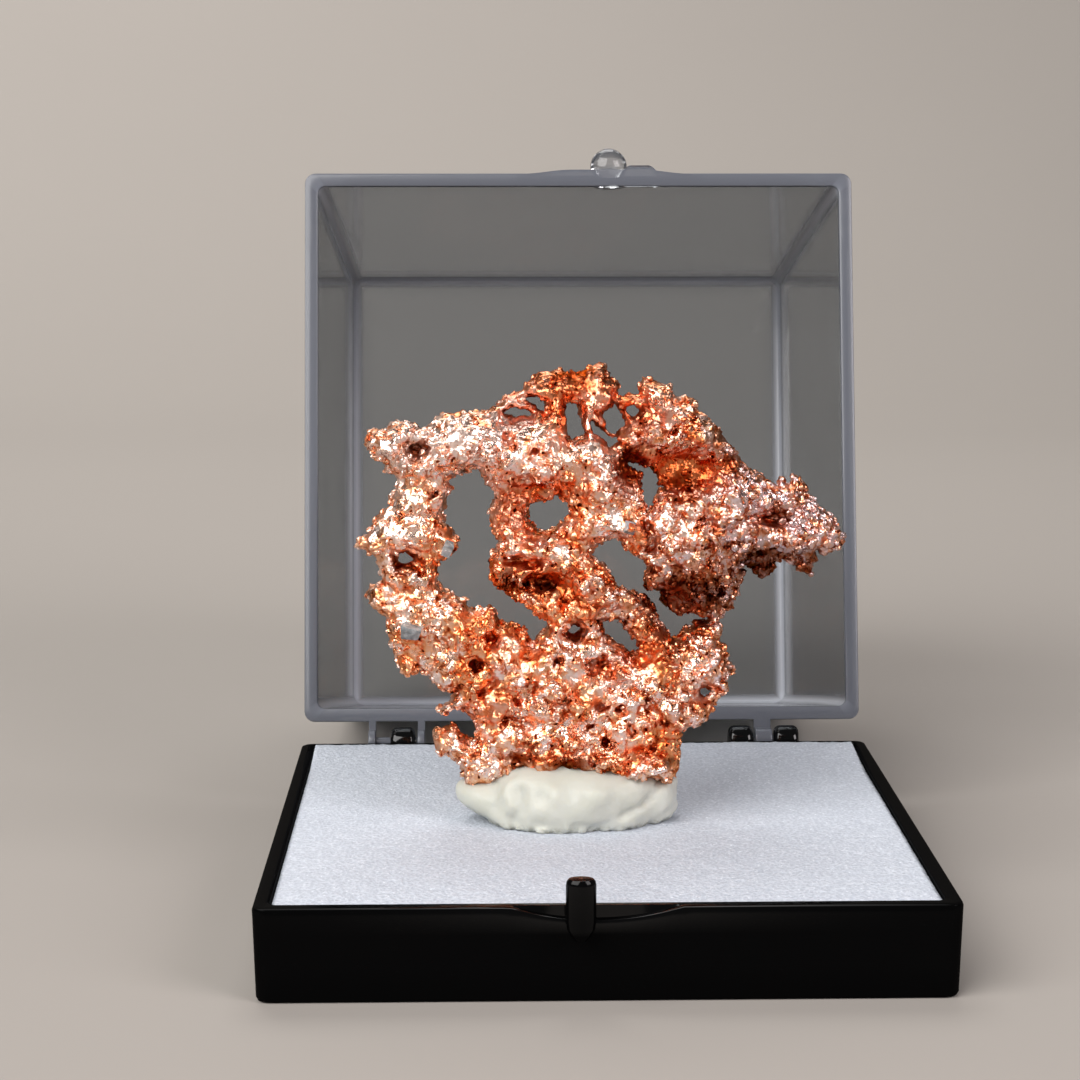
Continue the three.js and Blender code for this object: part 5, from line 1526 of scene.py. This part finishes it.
def near_lid_edges(shut):
    """One along the rim and the lines where the lid's walls meet, fading within a millimetre."""
    rim = LID_RIM
    top = rim + LID_DEPTH
    outer = BOX_HALF - (shut[:, 2] - rim) * math.tan(math.radians(LID_DRAFT))
    across = np.abs(shut[:, :2])
    outside = (outer - across.max(axis=1) < WALL / 4) | (top - shut[:, 2] < WALL / 4)
    skin = np.where(outside, 0, WALL)
    gaps = [outer - skin - across[:, 0], outer - skin - across[:, 1], top - skin - shut[:, 2]]
    second = np.sort(np.abs(gaps), axis=0)[1]
    line = np.clip(1.5 - second / 1.1, 0, 1)
    lip = np.clip(1.4 - (shut[:, 2] - rim) / 0.5, 0, 1)
    catch = np.clip((-BOX_HALF - 0.3 - shut[:, 1]) / 0.8, 0, 1)
    return line, lip * (1 - catch * 0.7), catch


class COPPER_OT_lid(bpy.types.Operator):
    """Make the clear lid, standing open"""
    bl_idname = "copper.lid"
    bl_label = "Lid"

    def execute(self, context):
        rim = LID_RIM
        others = [lid_bump(**LIP), lid_bump(**SHOULDER), stub_shape()]
        for span in EARS:
            others.append(lathe_bar(span, EAR_RADIUS, 0.2))
            others.append(box_shape(
                *span, BOX_HALF - 1, HINGE[1] + 0.4, rim, HINGE[2] + EAR_RADIUS - 0.05, 0.1,
            ))
        others.extend(lathe_bar(span, PIN_RADIUS, 0.1) for span in PINS)
        finish = clear_finish(context.scene.box_look)
        piece = merged(lid_shell(), others, finish, "lid_shell")
        shut = np.empty(len(piece.data.vertices) * 3, dtype=np.float32)
        piece.data.vertices.foreach_get("co", shut)
        shut = shut.reshape(-1, 3) / MM
        line, lip, catch = near_lid_edges(shut)
        # catch, edge and line mark where the finish paints light into the stub, the rim and the
        # corners
        store(piece, "catch", catch)
        store(piece, "edge", np.maximum(np.maximum(line * LINE_SHARE, lip), catch * 0.35))
        store(piece, "line", line * (1 - lip))
        hinge = Matrix.Translation(Vector(HINGE) * MM)
        turn = hinge @ Matrix.Rotation(-math.radians(LID_OPEN), 4, "X") @ hinge.inverted()
        piece.data.transform(turn)
        smooth_by_angle(piece, 28)
        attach(piece, "lid")
        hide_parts("lid")
        return {"FINISHED"}


# Stage
PAPER_BEND = 450.0
PAPER_RADIUS = 700.0
PAPER_REACH = 4000.0
# Soft lights: name, place, size and aim in metres, share of the power, colour, spread in degrees
LIGHTS = [
    ("key", (-0.47, -0.50, 0.55), (0.80, 0.70), (0, 0.02, 0.035), 1.22, (1.0, 0.98, 0.96), 180),
    ("fill", (0.46, -0.40, 0.36), (0.34, 0.38), (0, 0.02, 0.035), 0.32, (1.0, 0.94, 0.95), 180),
    ("top", (-0.05, 0.36, 0.62), (0.44, 0.36), (0, 0.02, 0.035), 0.22, (1.0, 0.99, 0.97), 180),
    ("wall", (-0.65, 0.30, 1.10), (0.60, 0.50), (-0.1, 1.4, 0.45), 1.1, (1.0, 0.98, 0.96), 125),
]
CAMERA_PLACE = (-11.07, -268.66, 81.28)
CAMERA_PITCH = 9.965
CAMERA_YAW = 1.44
FOCAL_PIXELS = 2559.44
AXIS_PIXEL = (555.15, 591.20)
PICTURE_SIDE = 1080
SENSOR_WIDTH = 36.0


def soft_light(name, place, aim, size, power, colour, spread):
    """An area light in metres that faces a point."""
    light = bpy.data.lights.new(name, "AREA")
    light.shape = "RECTANGLE"
    light.size, light.size_y = size
    light.spread = math.radians(spread)
    light.energy = power
    light.color = colour
    holder = placed(name, light)
    holder.location = place
    towards = Vector(aim) - Vector(place)
    holder.rotation_euler = towards.to_track_quat("-Z", "Y").to_euler()


def add_camera():
    camera = bpy.data.cameras.new("camera")
    camera.sensor_width = SENSOR_WIDTH
    camera.lens = FOCAL_PIXELS * SENSOR_WIDTH / PICTURE_SIDE
    camera.shift_x = (PICTURE_SIDE / 2 - AXIS_PIXEL[0]) / PICTURE_SIDE
    camera.shift_y = (AXIS_PIXEL[1] - PICTURE_SIDE / 2) / PICTURE_SIDE
    camera.clip_start = 0.01
    camera.clip_end = 50
    holder = placed("camera", camera)
    holder.location = Vector(CAMERA_PLACE) * MM
    pitch = math.radians(90 - CAMERA_PITCH)
    holder.rotation_euler = (pitch, 0, -math.radians(CAMERA_YAW))
    bpy.context.scene.camera = holder


class COPPER_OT_stage(bpy.types.Operator):
    """Make the floor, the soft light and the camera"""
    bl_idname = "copper.stage"
    bl_label = "Stage"

    def execute(self, context):
        look = context.scene.stage_look
        finish = Finish("pale_paper")
        tone = finish.spread(finish.noise(6, 3, 0.5), 0.3, 0.7)
        colour = finish.blend(tone * 0.1, tuple(look.floor_colour), (0.40, 0.37, 0.34))
        paper = finish.surface(Base_Color=colour, Roughness=0.8, Specular_IOR_Level=0.1)
        rows = [(-3000.0, 0.0), (-500.0, 0.0), (PAPER_BEND, 0.0)]
        for step in range(1, 25):
            angle = math.pi / 2 * step / 24
            along = PAPER_BEND + PAPER_RADIUS * math.sin(angle)
            rows.append((along, PAPER_RADIUS * (1 - math.cos(angle))))
        rows.append((rows[-1][0], 2600.0))
        points = [(x, y, z) for y, z in rows for x in (-PAPER_REACH, PAPER_REACH)]
        faces = [(2 * n, 2 * n + 1, 2 * n + 3, 2 * n + 2) for n in range(len(rows) - 1)]
        mesh_object("paper", points, faces, paper)
        world = bpy.data.worlds.new("air")
        context.scene.world = world
        world.use_nodes = True
        air = world.node_tree.nodes["Background"]
        air.inputs[0].default_value = (*look.air_colour, 1)
        air.inputs[1].default_value = look.air_strength
        for name, place, size, aim, share, colour, spread in LIGHTS:
            soft_light(name, place, aim, size, share * look.light_power, colour, spread)
        add_camera()
        context.scene.view_settings.view_transform = "Standard"
        return {"FINISHED"}


STEPS = [
    COPPER_OT_tray, COPPER_OT_lid, COPPER_OT_foam, COPPER_OT_putty,
    COPPER_OT_nugget, COPPER_OT_quartz, COPPER_OT_stage,
]
LOOKS = {
    "copper_look": CopperLook, "box_look": BoxLook, "soft_look": SoftLook,
    "stage_look": StageLook,
}


class COPPER_PT_panel(bpy.types.Panel):
    """Lists the pieces and their settings"""
    bl_idname = "COPPER_PT_panel"
    bl_label = "Copper"
    bl_space_type = "VIEW_3D"
    bl_region_type = "UI"
    bl_category = "Copper"

    def draw(self, context):
        for name, look in LOOKS.items():
            settings = getattr(context.scene, name)
            for setting in look.__annotations__:
                self.layout.prop(settings, setting)
        for step in STEPS:
            self.layout.operator(step.bl_idname)


def register():
    for made in [*LOOKS.values(), *STEPS, COPPER_PT_panel]:
        bpy.utils.register_class(made)
    for name, look in LOOKS.items():
        setattr(bpy.types.Scene, name, PointerProperty(type=look))


def unregister():
    for name in LOOKS:
        delattr(bpy.types.Scene, name)
    for made in reversed([*LOOKS.values(), *STEPS, COPPER_PT_panel]):
        bpy.utils.unregister_class(made)


def main():
    register()
    bpy.ops.copper.tray()
    bpy.ops.copper.lid()
    bpy.ops.copper.foam()
    bpy.ops.copper.putty()
    bpy.ops.copper.nugget()
    bpy.ops.copper.quartz()
    bpy.ops.copper.stage()


if __name__ == "__main__":
    main()
